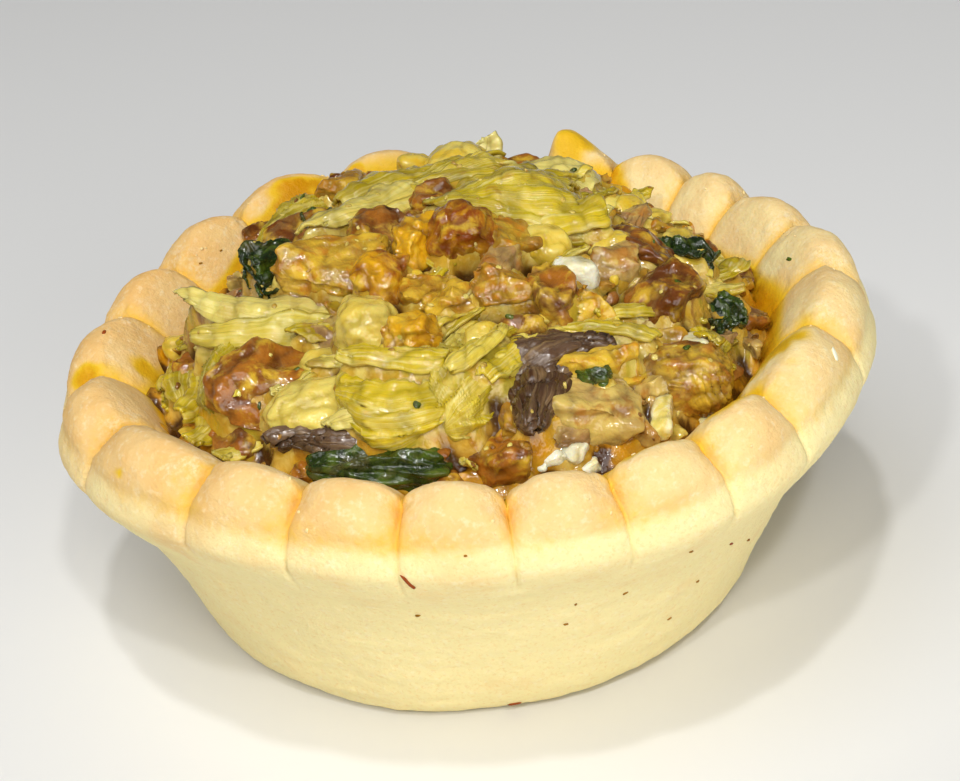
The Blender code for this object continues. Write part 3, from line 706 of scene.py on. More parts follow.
def wet_relief(paint, size_mm):
    """Fine wet wrinkles that break the highlights up."""
    wrinkle = paint.bump(paint.noise(size_mm, 2.0, 0.5, 0.5), 0.5, 0.2)
    return paint.bump(paint.noise(0.6, 2.0), 0.6, 0.15, wrinkle)


def milky(paint, tints, base, much):
    """A thin pale film in patches."""
    patch = paint.span(paint.noise(3.1, 5.0, 0.65, 1.2), 0.5, 0.64, 0.0, much)
    return paint.mix(patch, base, tints.coat_milky)


def low_down(paint):
    """Higher low down between the pieces, and uneven, for coating that runs together there."""
    deep = paint.math("MULTIPLY", paint.value("deep"), 0.5)
    return paint.math("ADD", deep, paint.noise(1.9, 4.0, 0.6, 0.6))


def shaded(paint, base, dark, much):
    """Painted shade: darker in the creases and low down between the pieces, where shade falls."""
    low = paint.span(paint.value("deep"), 0.45, 1.0, 0.0, 0.6)
    share = paint.math("MAXIMUM", paint.math("MULTIPLY", paint.value("crease"), much), low)
    return paint.mix(share, base, darkened(dark))


def uneven_gloss(paint, size_mm, low, high):
    """Roughness that changes in patches."""
    return paint.span(paint.noise(size_mm, 2.0), 0.3, 0.7, low, high)


def food_material(
    name, tints, light, dark, feature_mm, accent=None, coated=0.4, gloss=0.3, skin=0.18, film=0.12
):
    """A moist baked piece: its own colours in patches, with melted coating in places and low down, and
    painted shade in the creases and low down between the pieces.
    """
    paint = Paint(name)
    patch = paint.span(paint.noise(feature_mm, 5.0, 0.6, 0.8), 0.3, 0.7, -0.45, 0.45)
    share = paint.math("ADD", paint.value("tint"), patch)
    base = paint.mix(paint.span(share, 0.0, 1.0), light, dark)
    if accent is not None:
        blotch = paint.noise(feature_mm * 0.6, 4.0, 0.6, 0.4)
        base = paint.mix(paint.span(blotch, 0.48, 0.68, 0.0, 0.8), base, accent)
    creamy = paint.span(paint.noise(1.7, 3.0), 0.4, 0.6)
    melted = paint.mix(creamy, tints.coat_main, tints.coat_light)
    olive = paint.span(paint.noise(2.6, 3.0, 0.6, 0.6), 0.52, 0.64, 0.0, 0.8)
    melted = paint.mix(olive, melted, tints.coat_olive)
    cover = paint.span(low_down(paint), 1.08 - coated, 1.36 - coated, 0.0, 0.85)
    base = paint.mix(cover, base, melted)
    # Painted shade in the creases and low down between the pieces
    base = shaded(paint, base, dark, 0.65)
    base = milky(paint, tints, base, film)
    rough = uneven_gloss(paint, 1.4, gloss * 0.7, gloss * 1.5)
    return paint.finish(base, rough, wet_relief(paint, feature_mm * 0.3), coat=1.0, skin=skin)


def coating_material(tints):
    """Melted cheese and egg in creamy, olive and brown patches, with golden juice towards the edge, and
    painted shade in the creases and in the gaps between the pieces.
    """
    paint = Paint("melted_coating")
    creamy = paint.span(paint.noise(2.6, 4.0, 0.6, 0.8), 0.42, 0.62)
    base = paint.mix(creamy, tints.coat_main, tints.coat_light)
    leeky = paint.span(paint.noise(3.4, 3.0, 0.6, 0.8), 0.45, 0.7, -0.3, 0.6)
    olive = paint.math("ADD", paint.value("olive"), leeky)
    base = paint.mix(paint.span(olive, 0.1, 1.0, 0.0, 0.85), base, tints.coat_olive)
    earthy = paint.span(paint.noise(2.9, 4.0, 0.6, 1.0), 0.5, 0.7, -0.3, 0.7)
    brown = paint.math("ADD", paint.value("brown"), earthy)
    base = paint.mix(paint.span(brown, 0.1, 1.0, 0.0, 0.9), base, tints.coat_brown)
    base = paint.mix(paint.math("MULTIPLY", paint.value("edge"), 0.85), base, tints.juice)
    # Painted shade: the mushrooms' dark colour in the creases, then near-black in the gaps between the
    # pieces
    base = paint.mix(paint.math("MULTIPLY", paint.value("crease"), 0.85), base, tints.mushroom_dark)
    base = paint.mix(paint.span(paint.value("crease"), 0.5, 0.95, 0.0, 0.9), base, tints.hollow)
    rough = uneven_gloss(paint, 1.4, 0.2, 0.42)
    return paint.finish(base, rough, wet_relief(paint, 0.9), coat=1.0, skin=0.15)


def fibre_material(name, tints, shades, stripes, coated=0.35, film=0.2, stain=0.0):
    """Layers with fibres along their length: pale threads, partly pale fibres and partly a painted highlight
    along the ridges, over a colour that changes across the layer, with painted shade between the threads and
    in the creases.
    """
    pale, main, deep_tint = shades
    paint = Paint(name)
    tint = paint.value("tint")
    run = paint.node("ShaderNodeCombineXYZ")
    paint.feed(run.inputs["X"], paint.math("MULTIPLY", paint.value("across"), stripes))
    paint.feed(run.inputs["Y"], paint.math("MULTIPLY", paint.value("along"), 0.6))
    paint.feed(run.inputs["Z"], paint.math("MULTIPLY", tint, 37.0))
    threads = paint.noise_at(run.outputs[0], 1.0, 4.0, 0.6)
    patch = paint.span(paint.noise(3.5, 3.0, 0.55, 0.6), 0.3, 0.7, -0.3, 0.35)
    share = paint.math("ADD", paint.math("MULTIPLY", tint, 0.8), patch)
    base = paint.mix(paint.span(share, 0.0, 1.0), main, deep_tint)
    base = paint.mix(paint.span(tint, -1.0, 0.0, 0.85, 0.0), base, pale)
    # Pale threads along the ridges: partly the fibres' own colour, partly a painted highlight
    base = paint.mix(paint.span(threads, 0.46, 0.72, 0.0, 0.8), base, pale)
    # Painted shade in the grooves between the threads
    base = paint.mix(paint.span(threads, 0.28, 0.42, 0.6, 0.0), base, darkened(deep_tint))
    stained = paint.span(paint.noise(2.3, 4.0, 0.6, 1.0), 0.54, 0.68, 0.0, stain)
    base = paint.mix(stained, base, tints.golden_dark)
    cover = paint.span(low_down(paint), 1.12 - coated, 1.32 - coated, 0.0, 0.8)
    base = paint.mix(cover, base, tints.coat_main)
    # Painted shade in the creases and low down between the pieces
    base = shaded(paint, base, deep_tint, 0.5)
    base = milky(paint, tints, base, film)
    ridges = paint.bump(threads, 0.5, 0.2)
    fine = paint.bump(paint.noise(0.8, 1.0), 0.4, 0.1, ridges)
    rough = uneven_gloss(paint, 1.2, 0.196, 0.392)
    return paint.finish(base, rough, fine, coat=1.0, skin=0.2)


# The crust


def fine_outline():
    """The case outline with smooth steps between its points, and which stretch each step is in."""
    rows = np.array(CASE_OUTLINE)
    fine = []
    stretch = []
    for index, count in enumerate(OUTLINE_STEPS):
        start, end = rows[index], rows[index + 1]
        before = rows[index - 1] if index > LAST_CRISP_ROW else start
        after = rows[min(len(rows) - 1, index + 2)]
        for step in range(count):
            t = step / count
            if index in FLAT_ROWS:
                point = start + (end - start) * t
            else:
                point = 0.5 * (
                    2 * start
                    + (end - before) * t
                    + (2 * before - 5 * start + 4 * end - after) * t**2
                    + (3 * start - before - 3 * end + after) * t**3
                )
            fine.append(point)
            stretch.append(index + t)
    fine.append(rows[-1])
    stretch.append(len(rows) - 1)
    return np.array(fine), np.array(stretch)


def turned_grid(name, radii, heights, columns):
    """Turn an outline with a Screw modifier, and return the piece with its points column by column."""
    mesh = bpy.data.meshes.new(name)
    points = [(radius, 0.0, height) for radius, height in zip(radii, heights)]
    mesh.from_pydata(points, [(i, i + 1) for i in range(len(points) - 1)], [])
    piece = bpy.data.objects.new(name, mesh)
    bpy.context.scene.collection.objects.link(piece)
    screw = piece.modifiers.new("Turn", "SCREW")
    screw.axis = "Z"
    screw.steps = columns
    screw.render_steps = columns
    screw.use_merge_vertices = False
    apply_all(piece)
    if len(piece.data.vertices) != columns * len(points):
        raise RuntimeError("the turned outline has an unexpected number of points")
    return piece


def groove_depths():
    """How deep each groove is, as in the part's source."""
    draw = random.Random(SEED)
    depths = [draw.uniform(*GROOVE_DEPTH_RANGE) for _ in range(LOBES)]
    depths[DEEP_GROOVE] = DEEP_GROOVE_DEPTH
    return np.array(depths)


# Golden juice on the inner wall: how far up it reaches all round (mm), and how strongly it stains
JUICE_REACH = 1.1
JUICE_STRENGTH = 0.75
# Where it has run further up: angle, half width (degrees), how far up (mm), strength
JUICE_RUNS = (
    (92, 26, 3.4, 0.9),
    (60, 14, 2.6, 0.8),
    (-32, 12, 2.2, 0.7),
    (-62, 18, 2.6, 0.9),
    (-90, 9, 3.4, 0.7),
    (150, 5, 6.0, 0.9),
    (30, 18, 2.4, 0.8),
)
# Juice that fills the front grooves: how far up (mm), and how wide (share of a lobe's hollow)
GROOVE_RUN = 4.2
GROOVE_RUN_WIDTH = 0.35
# Juice in the grooves at the front right: angle, half width (degrees), strength
FRONT_RIGHT_RUN = (42, 26, 0.55)
# Egg and cheese baked onto the rim: angle, half width (degrees), place and half width along the outline,
# strength
RIM_STAINS = (
    (-147, 6.5, 14.5, 1.0, 1.0),
    (-152.5, 4.0, 14.6, 0.7, 0.9),
    (-161, 2.6, 14.3, 0.7, 0.75),
    (157, 6.0, 14.4, 1.8, 0.6),
    (149.5, 1.5, 15.0, 1.8, 0.85),
    (-87.0, 1.8, 12.5, 1.6, 0.8),
    (-86, 2.4, 14.0, 1.5, 0.42),
    (-91, 3.2, 16.0, 1.2, 0.7),
    (-66, 2.6, 16.3, 1.3, 0.7),
    (24, 11, 14.8, 1.3, 0.65),
    (43, 10, 14.8, 1.5, 0.7),
    (62, 10, 15.2, 1.9, 0.65),
    (9, 6, 14.8, 1.0, 0.5),
    (-58.4, 0.9, 11.2, 0.35, 0.55),
)


class CrustGrid:
    """The crust's points before its relief, in columns round the rim and rows along the outline."""

    def __init__(self):
        self.rows, self.stretch = fine_outline()
        self.columns = LOBES * COLUMNS_PER_LOBE
        self.shape = (self.columns, len(self.rows))
        starts = np.array([groove_angle(index) for index in range(LOBES + 1)])
        lobe = np.repeat(np.arange(LOBES), COLUMNS_PER_LOBE)
        share = np.tile(np.arange(COLUMNS_PER_LOBE) / COLUMNS_PER_LOBE, LOBES)
        share = share - COLUMN_BUNCHING * np.sin(2 * math.pi * share) / (2 * math.pi)
        self.angle = starts[lobe] + (starts[lobe + 1] - starts[lobe]) * share
        self.angles = np.repeat(self.angle[:, None], len(self.rows), axis=1)
        depths = groove_depths()
        depth = depths[lobe] * (1 - share) + depths[(lobe + 1) % LOBES] * share
        arch = np.sin(math.pi * share)[:, None]
        self.rim = smooth_step(self.stretch, WALL_ROW - 0.5, FLANGE_ROW)[None, :]
        self.notch = smooth_step(self.stretch, CREASE_ROW - 1.0, CREST_ROW)[None, :]
        self.inner = smooth_step(self.stretch, CREST_ROW + 0.3, CREST_ROW + 2.0)[None, :]
        self.hollow = 1 - arch ** (LOBE_ROUNDNESS + (CREST_ROUNDNESS - LOBE_ROUNDNESS) * self.notch)
        groove = depth[:, None] * self.hollow
        self.radius = self.rows[:, 0] - self.rows[:, 2] * groove
        self.height = self.rows[:, 1] - self.rows[:, 3] * groove
        self.flat = rim_points(self.radius, self.height, self.angles).reshape(-1, 3)
        spread = np.where(share < TORN_PEAK, TORN_SPREAD[0], TORN_SPREAD[1])
        tip = TORN_HEIGHT * bell((share - TORN_PEAK) / spread)
        self.torn = self.rows[:, 4] * np.where(lobe == TORN_LOBE, tip, 0.0)[:, None]

    def field(self, size, seed, squash=1.0):
        """A random field over the crust, with features of about this size."""
        return random_field(self.flat * squash, size, seed).reshape(self.shape)

    def near(self, degrees, half_width):
        """How far each point is from an angle round the rim, in half widths."""
        return angle_from(self.angles, math.radians(degrees)) / math.radians(half_width)


def crust_relief(grid, hand, crumb):
    """How far hand marks and crumb push the surface, where it stays floury, and the grain alone."""
    fade = smooth_step(grid.stretch, *FOOT_ROWS) * (1 - smooth_step(grid.stretch, *FLOOR_ROWS))[None, :]
    crest = bell((grid.stretch - CREST_ROW - 0.6) / 1.7)[None, :]
    pressed = hand * grid.field(6.0, 1)
    pressed += 0.6 * hand * grid.field(3.6, 2, (1, 1, 4.5)) * (1 - grid.rim)
    flour = smooth_step(grid.hollow, 0.08, 0.25) * (1 - smooth_step(grid.hollow, 0.45, 0.8)) * crest
    flour = np.clip(flour * (0.6 + 0.9 * grid.field(1.0, 9)), 0, 1)
    grain = crumb * grid.field(1.15, 3)
    grain += 0.8 * crumb * grid.field(0.62, 4)
    pits = -1.6 * crumb * smooth_step(grid.field(1.3, 5), 0.55, 0.85)
    push = fade * (pressed + (0.5 + 0.3 * crest + 1.2 * flour) * grain + 0.4 * pits)
    return push, flour, grain / crumb


def crust_toast(grid, cloud):
    """How golden the crease under the lobes and the grooves between them are."""
    line = bell((grid.stretch - CREASE_ROW - 0.2) / 1.1)[None, :]
    in_crease = 0.45 * line * (0.8 + 0.9 * cloud) * (0.65 + 0.35 * np.cos(grid.angles + 0.5))
    return np.clip(in_crease + grid.hollow * (0.25 * grid.rim + 0.8 * grid.notch), 0, 1)


def crust_warmth(grid, cloud):
    """How warm the baked colour is: most on top of the lobes, and on the left, where it is partly browning
    and partly painted shade on the side away from the light.
    """
    upper = smooth_step(grid.stretch, CREASE_ROW - 0.8, CREASE_ROW + 1.2)[None, :]
    # Warmer and darker on the left: partly browning, partly painted shade
    left = (0.5 - 0.5 * np.sin(grid.angles + 0.3)) ** 1.5
    warm = 0.6 * left * grid.rim + 0.65 * upper - 0.3 * grid.inner + 0.12 * cloud
    return np.clip(warm, 0, 1.4)


def crust_juice(grid, height, cloud, grain):
    """How much juice or egg stains each point: on the inner wall, over the rim and in the grooves."""
    reach = np.full(grid.columns, JUICE_REACH)
    strength = np.full(grid.columns, JUICE_STRENGTH)
    for middle, half_width, far, much in JUICE_RUNS:
        near = bell(grid.near(middle, half_width)[:, 0])
        reach = reach + (far - JUICE_REACH) * near
        strength = strength + (much - JUICE_STRENGTH) * near
    groove_run = GROOVE_RUN * bell((1 - grid.hollow[:, 0]) / GROOVE_RUN_WIDTH) * (np.cos(grid.angle) > 0.2)
    reach = (reach + groove_run)[:, None] + 0.9 * cloud
    level = height - heap_edge_height(grid.angle)[:, None] - 0.8
    juice = strength[:, None] * (1 - smooth_step(level, reach * 0.2, reach)) * grid.inner
    ragged = cloud * 0.5 + grid.field(1.5, 8) * 0.7 + grain * 0.25
    for middle, half_width, row, half_length, much in RIM_STAINS:
        away = grid.near(middle, half_width) ** 2 + ((grid.stretch[None, :] - row) / half_length) ** 2
        juice = np.maximum(juice, much * (1 - smooth_step(np.sqrt(away) + 0.5 * ragged, 0.3, 1.2)))
    middle, half_width, much = FRONT_RIGHT_RUN
    upper = smooth_step(grid.stretch, CREST_ROW - 1.4, CREST_ROW + 0.8)[None, :]
    run = much * grid.hollow * upper * bell(grid.near(middle, half_width))
    return np.clip(np.maximum(juice, run * (0.85 + 0.3 * cloud)), 0, 1)


def build_crust(sizes, tints):
    """The pastry case with its lobes, crumb and stains."""
    grid = CrustGrid()
    piece = turned_grid("crust", grid.rows[:, 0], grid.rows[:, 1], grid.columns)
    push, flour, grain = crust_relief(grid, sizes.hand_depth / MM, sizes.crumb_depth / MM)
    along = np.gradient(grid.rows[:, :2], axis=0)
    along /= np.maximum(1e-6, np.hypot(along[:, 0], along[:, 1]))[:, None]
    radius = grid.radius + push * along[:, 1]
    height = grid.height - push * along[:, 0] + grid.torn
    points = rim_points(radius, height, grid.angles)
    points[:, -1] = points[:, -1].mean(axis=0)
    set_points(piece, points.reshape(-1, 3))
    cloud = grid.field(4.0, 6)
    note_values(piece, "flour", flour.ravel())
    note_values(piece, "toast", crust_toast(grid, cloud).ravel())
    note_values(piece, "warm", crust_warmth(grid, cloud).ravel())
    note_values(piece, "juice", crust_juice(grid, height, cloud, grain).ravel())
    outward(piece)
    settle(piece, crust_material(tints), "crust", "pastry_case")


# Flecks on the crust: angle, place along the outline, (length, width) in millimetres, turn, which colour
FLECKS = (
    (-12.0, 7.8, (1.9, 0.42), -62, "red"),
    (-12.5, 5.0, (0.45, 0.3), 10, "dark"),
    (20.1, 4.9, (0.5, 0.3), 30, "dark"),
    (11.2, 4.5, (0.45, 0.25), 0, "dark"),
    (12.1, 4.9, (0.35, 0.25), 70, "dark"),
    (41.1, 4.8, (0.8, 0.35), -40, "red"),
    (48.1, 4.5, (0.6, 0.3), -30, "dark"),
    (36.0, 4.4, (0.4, 0.3), 0, "dark"),
    (33.3, 3.8, (0.5, 0.25), 20, "dark"),
    (3.8, 2.6, (1.2, 0.7), 0, "red"),
    (94.0, 14.8, (0.8, 0.45), 20, "green"),
    (61.9, 11.8, (1.3, 0.7), 50, "white"),
    (-94.2, 13.7, (0.6, 0.5), 0, "red"),
    (-120.7, 14.7, (0.35, 0.25), 0, "dark"),
    (-125.9, 14.8, (0.3, 0.25), 0, "dark"),
    (28.0, 6.2, (0.5, 0.25), -20, "dark"),
    (-4.0, 9.6, (0.3, 0.25), 0, "dark"),
    (131.0, 4.2, (0.7, 0.4), 15, "dark"),
    (-152.0, 5.1, (0.6, 0.35), 40, "dark"),
    (171.0, 3.9, (0.5, 0.3), 0, "red"),
    (-78.0, 4.6, (0.4, 0.3), 0, "dark"),
)
FLECK_THICKNESS = 0.22
FLECK_KINDS = ("red", "green", "white", "flour")
# Floury crumbs that are scattered near the grooves
CREST_CRUMBS = 45
CREST_CRUMB_LENGTH = (0.2, 0.45)
CREST_CRUMB_ROWS = (10.6, 15.0)


def surface_of(pieces):
    """The surface of some finished pieces in millimetres, for asking what is nearest or on top."""
    points, faces = [], []
    for piece in pieces:
        offset = len(points)
        points += [vertex.co / MM for vertex in piece.data.vertices]
        faces += [[index + offset for index in polygon.vertices] for polygon in piece.data.polygons]
    return BVHTree.FromPolygons(points, faces)


def standing(spot, normal, turn):
    """Where a small bit stands on a surface, turned about the surface's own direction."""
    return (
        Matrix.Translation(spot)
        @ normal.to_track_quat("Z", "Y").to_matrix().to_4x4()
        @ Matrix.Rotation(turn, 4, "Z")
    )


def fleck_rows():
    """The flecks that show, and floury crumbs near the grooves of the rim."""
    draw = random.Random(SEED)
    rows = list(FLECKS)
    for _ in range(CREST_CRUMBS):
        near = math.degrees(groove_angle(draw.randrange(LOBES))) + draw.gauss(0, 2.5)
        length = draw.uniform(*CREST_CRUMB_LENGTH)
        size = (length, length * draw.uniform(0.5, 1.0))
        rows.append((near, draw.uniform(*CREST_CRUMB_ROWS), size, draw.uniform(0, 180), "flour"))
    return rows


def build_flecks(tints):
    """Small baked-on bits of herb, onion and browned crumb on the outside of the crust."""
    tree = surface_of([bpy.data.objects["crust"]])
    rows, stretch = fine_outline()
    ball, faces = ball_points(2)
    parts = []
    for number, (angle, place, size, turn, kind) in enumerate(fleck_rows()):
        radius = float(np.interp(place, stretch, rows[:, 0]))
        height = float(np.interp(place, stretch, rows[:, 1]))
        spot = rim_points(np.array(radius), np.array(height), math.radians(angle))
        spot = Vector((spot[0] - CASE_CENTRE[0], spot[1] - CASE_CENTRE[1], spot[2]))
        spot, normal, _, _ = tree.find_nearest(spot)
        shape = torn(squared(ball, 0.7), random.Random(number), 0.6, 0.25)
        shape = shape * (np.array((0.9 * size[0], 0.7 * size[1], FLECK_THICKNESS)) / 2)
        stand = standing(spot + Vector((*CASE_CENTRE, 0.0)), normal, math.radians(turn))
        parts.append((moved(shape, stand), faces, {name: float(kind == name) for name in FLECK_KINDS}))
    piece = join_parts("crust_flecks", parts)
    settle(piece, fleck_material(tints), "crust", "pastry_case")


# The melted coating that the pieces lie in

COAT_COLUMNS = 440
COAT_RINGS = 170
COAT_UNDER = 12.0
COAT_UNDER_SHARE = 0.95
COAT_REACH = 29.0
COAT_CELL = 0.3
COAT_BLUR = 3
COAT_BELOW = 0.35
COAT_SPREAD = 1.07
COAT_EDGE_RISE = 1.3
LOOK_DOWN_FROM = 80.0


def blurred(grid, steps):
    """The grid with each value softened by its neighbours."""
    for _ in range(steps):
        for axis in (0, 1):
            grid = (np.roll(grid, 1, axis) + 2 * grid + np.roll(grid, -1, axis)) / 4
    return grid


def top_at(tree, x, y):
    """The spot and normal on top of what is laid at a point, in millimetres, or None."""
    eye = Vector((x - CASE_CENTRE[0], y - CASE_CENTRE[1], LOOK_DOWN_FROM))
    spot, normal, _, _ = tree.ray_cast(eye, Vector((0, 0, -1)))
    if spot is None:
        return None
    return Vector((x, y, spot.z)), normal


def tops_over(side):
    """How high the filling stands over each point of a square grid."""
    tree = surface_of(LAID)
    tops = np.zeros((len(side), len(side)))
    for row, x in enumerate(side):
        for column, y in enumerate(side):
            bare = float(heap_height(x, y)) - 1.0
            hit = top_at(tree, x, y)
            tops[row, column] = bare if hit is None else max(bare, hit[0].z)
    return tops


def nearness(x, y, rows, spread):
    """How near each point is to the pieces of some rows, from 0 to 1."""
    near = np.zeros_like(x)
    for row in rows:
        size = spread + 0.4 * row[3][0]
        near = np.maximum(near, np.exp(-((x - row[0]) ** 2 + (y - row[1]) ** 2) / size**2))
    return near


def build_coating(tints):
    """Melted cheese and egg that fills the gaps between the pieces and rises up their sides."""
    side = np.arange(-COAT_REACH, COAT_REACH, COAT_CELL)
    tops = tops_over(side)
    fine = blurred(tops, 1)
    soft = blurred(tops, COAT_BLUR)
    wide = blurred(soft, 4 * COAT_BLUR)

    shares = np.linspace(1.0, 0.0, COAT_RINGS + 1)
    radii = np.concatenate([[0.0, HEAP_RADIUS * COAT_UNDER_SHARE], HEAP_RADIUS * COAT_SPREAD * shares])
    heights = np.concatenate([[COAT_UNDER, COAT_UNDER], HEAP_TOP + 1 - shares])
    piece = turned_grid("melted_coating", radii, heights, COAT_COLUMNS)
    shape = (COAT_COLUMNS, len(radii))
    angle = np.linspace(0, 2 * math.pi, COAT_COLUMNS, endpoint=False)[:, None]
    reach = np.repeat(radii[None, :], COAT_COLUMNS, axis=0) * (1 + wave(angle, RIM_SWAY))
    x, y = reach * np.sin(angle), -reach * np.cos(angle)
    row = np.clip((x - side[0]) / COAT_CELL, 0, len(side) - 1.001)
    column = np.clip((y - side[0]) / COAT_CELL, 0, len(side) - 1.001)
    whole_row, whole_column = row.astype(int), column.astype(int)
    row, column = row - whole_row, column - whole_column

    def sampled(grid):
        """The grid's values at the points of the piece."""
        near = grid[whole_row, whole_column] * (1 - column) + grid[whole_row, whole_column + 1] * column
        after = whole_row + 1
        far = grid[after, whole_column] * (1 - column) + grid[after, whole_column + 1] * column
        return near * (1 - row) + far * row

    flat = np.stack([x, y, heap_height(x, y)], axis=-1).reshape(-1, 3)

    def field(size, seed):
        """A random field over the piece."""
        return random_field(flat, size, seed).reshape(shape)

    share = np.concatenate([[0.0, COAT_UNDER_SHARE], COAT_SPREAD * shares])[None, :]
    low = smooth_step(sampled(wide) - sampled(soft), -0.2, 0.9)
    level = 0.5 * sampled(fine) + 0.35 * sampled(soft) + 0.15 * sampled(wide) - COAT_BELOW
    valley = valleys(flat, 1.6, 5).reshape(shape)
    bumps = 0.32 * field(2.3, 1) + 0.24 * field(1.1, 2) + 0.12 * field(0.55, 3) - 0.35 * valley
    rim = smooth_step(share, 0.86, COAT_SPREAD)
    ragged = 0.8 * field(3.0, 6) + 0.35 * field(1.2, 7)
    edge_level = heap_height(x, y) + COAT_EDGE_RISE + ragged + bumps
    level = (level + bumps) * (1 - rim) + edge_level * rim
    level[:, :2] = COAT_UNDER
    set_points(piece, np.stack([x, y, level], axis=-1).reshape(-1, 3))
    edge = smooth_step(share + 0.07 * field(2.4, 4), 0.90, 1.04)
    green = nearness(x, y, LEEK_BUNDLES + LEEK_FOLDS + LEEK_STRIPS, 1.0)
    brown = nearness(x, y, MUSHROOMS + DARK_SLICES + BROWNED, 0.8)
    note_values(piece, "edge", edge.ravel())
    # The crease value marks valleys and the gaps where the coating lies low, for painted shade
    note_values(piece, "crease", np.clip(valley * 0.4 + 0.9 * low, 0, 1).ravel())
    note_values(piece, "olive", 0.6 * green.ravel())
    note_values(piece, "brown", 0.6 * brown.ravel())
    outward(piece)
    settle(piece, coating_material(tints), "filling", "mushroom_filling")


# Shapes of the pieces, all about one unit in radius


def taken_apart(corners):
    """Points and faces of the shape that was just added, which is then removed."""
    shape = bpy.context.object
    points = get_points(shape)
    mesh = shape.data
    mesh.calc_loop_triangles()
    sides = mesh.loop_triangles if corners == 3 else mesh.polygons
    faces = np.empty(len(sides) * corners, dtype=np.int64)
    sides.foreach_get("vertices", faces)
    bpy.data.objects.remove(shape)
    bpy.data.meshes.remove(mesh)
    return points, faces.reshape(-1, corners)


def ball_points(level):
    """Points and faces of a round ball."""
    deselect()
    bpy.ops.mesh.primitive_ico_sphere_add(subdivisions=level, radius=1.0)
    return taken_apart(3)


def layer_points(long_steps, wide_steps):
    """Points and faces of a flat layer from -1 to 1."""
    deselect()
    bpy.ops.mesh.primitive_grid_add(x_subdivisions=long_steps, y_subdivisions=wide_steps, size=2.0)
    return taken_apart(4)


def spindle_points(around, along):
    """Points and faces of a round body whose poles are at its two ends."""
    deselect()
    bpy.ops.mesh.primitive_uv_sphere_add(
        segments=around, ring_count=along, radius=1.0, rotation=(0, math.pi / 2, 0)
    )
    bpy.ops.object.transform_apply(rotation=True)
    points, faces = taken_apart(3)
    # Blender orders these faces anew each run, so they are sorted
    return points, faces[np.lexsort(faces.T[::-1])]


def squared(points, power):
    """Fuller towards the corners, as a cut piece is."""
    return np.sign(points) * np.abs(points) ** power


def cut_flat(points, draw, count, near, far):
    """Flatten the piece against some planes, as a knife leaves it."""
    for _ in range(count):
        normal = np.array([draw.gauss(0, 1) for _ in range(3)])
        normal /= np.linalg.norm(normal)
        over = points @ normal - draw.uniform(near, far)
        points = points - np.where(over > 0, over * 0.9, 0.0)[:, None] * normal
    return points


def torn(points, draw, size, depth):
    """Push points along their direction by a random field of its own."""
    away = draw.uniform(0, 90)
    field = random_field(points + away, size, 1) + 0.5 * random_field(points + away, size * 0.45, 2)
    return points * (1 + depth * field[:, None])


def mushroom_shape(points, draw):
    """A cooked slice or chunk: a rounded back, a hollowed cut side and rolled edges."""
    shape = squared(points, 0.68)
    shape = cut_flat(shape, draw, 4, 0.55, 0.85)
    x, y = shape[:, 0], shape[:, 1]
    dip = draw.uniform(0.25, 0.6) * np.exp(-(((x - draw.uniform(-0.4, 0.4)) / 0.55) ** 2 + (y / 0.5) ** 2))
    shape[:, 2] = np.where(shape[:, 2] > 0, shape[:, 2] - dip * shape[:, 2], shape[:, 2])
    shape[:, 2] -= draw.uniform(0.1, 0.3) * x**2
    return torn(shape, draw, 0.55, 0.13)


def chunk_shape(points, draw):
    """A broken, coated chunk."""
    return torn(cut_flat(squared(points, 0.66), draw, 6, 0.5, 0.85), draw, 0.5, 0.15)


def browned_shape(points, draw):
    """A bubbled lump of browned cheese."""
    shape = cut_flat(squared(points, 0.75), draw, 3, 0.6, 0.9)
    return torn(torn(shape, draw, 0.7, 0.16), draw, 0.25, 0.07)


def cheese_shape(points, draw):
    """A soft, melted lump."""
    return torn(squared(points, 0.85), draw, 0.8, 0.13)


def cube_shape(points, draw):
    """A small cut cube or rod."""
    return torn(cut_flat(squared(points, 0.58), draw, 2, 0.7, 0.95), draw, 0.6, 0.10)


GILLS = 34


def gilled_shape(points, draw):
    """A mushroom half with gills along its outer arc."""
    shape = squared(points, 0.7)
    turn = np.arctan2(shape[:, 1], shape[:, 0])
    outer = smooth_step(np.hypot(shape[:, 0], shape[:, 1]), 0.55, 0.8)
    shape = shape * (1 - 0.06 * outer * (0.5 + 0.5 * np.cos(GILLS * turn)))[:, None]
    shape[:, 2] += 0.18 * (1 - outer)
    return torn(shape, draw, 0.5, 0.10)


def roll_shape(points, draw):
    """A rolled leaf with long folds."""
    turn = np.arctan2(points[:, 2], points[:, 1])
    folds = 0.16 * np.cos(6 * turn + 3.0 * points[:, 0] + 0.8 * np.sin(4 * points[:, 0]))
    folds += 0.06 * np.cos(15 * turn - 4.0 * points[:, 0])
    shape = squared(points, 0.85)
    shape[:, 1:] *= ((1 + folds) * (1 + 0.28 * points[:, 0]))[:, None]
    return torn(shape, draw, 0.6, 0.10)


BUNDLE_LAYERS = 9
FOLD_LAYERS = 7
LEAF_FOLDS = 3
# How much one layer of a fold waves up and down, and how thick a slice of mushroom is, in millimetres
FOLD_WAVE = 0.8
SLICE_THICKNESS = 0.8
LEEK_BEND = (2.4, 1.1)
LEEK_WRINKLE = (0.8, 0.3)


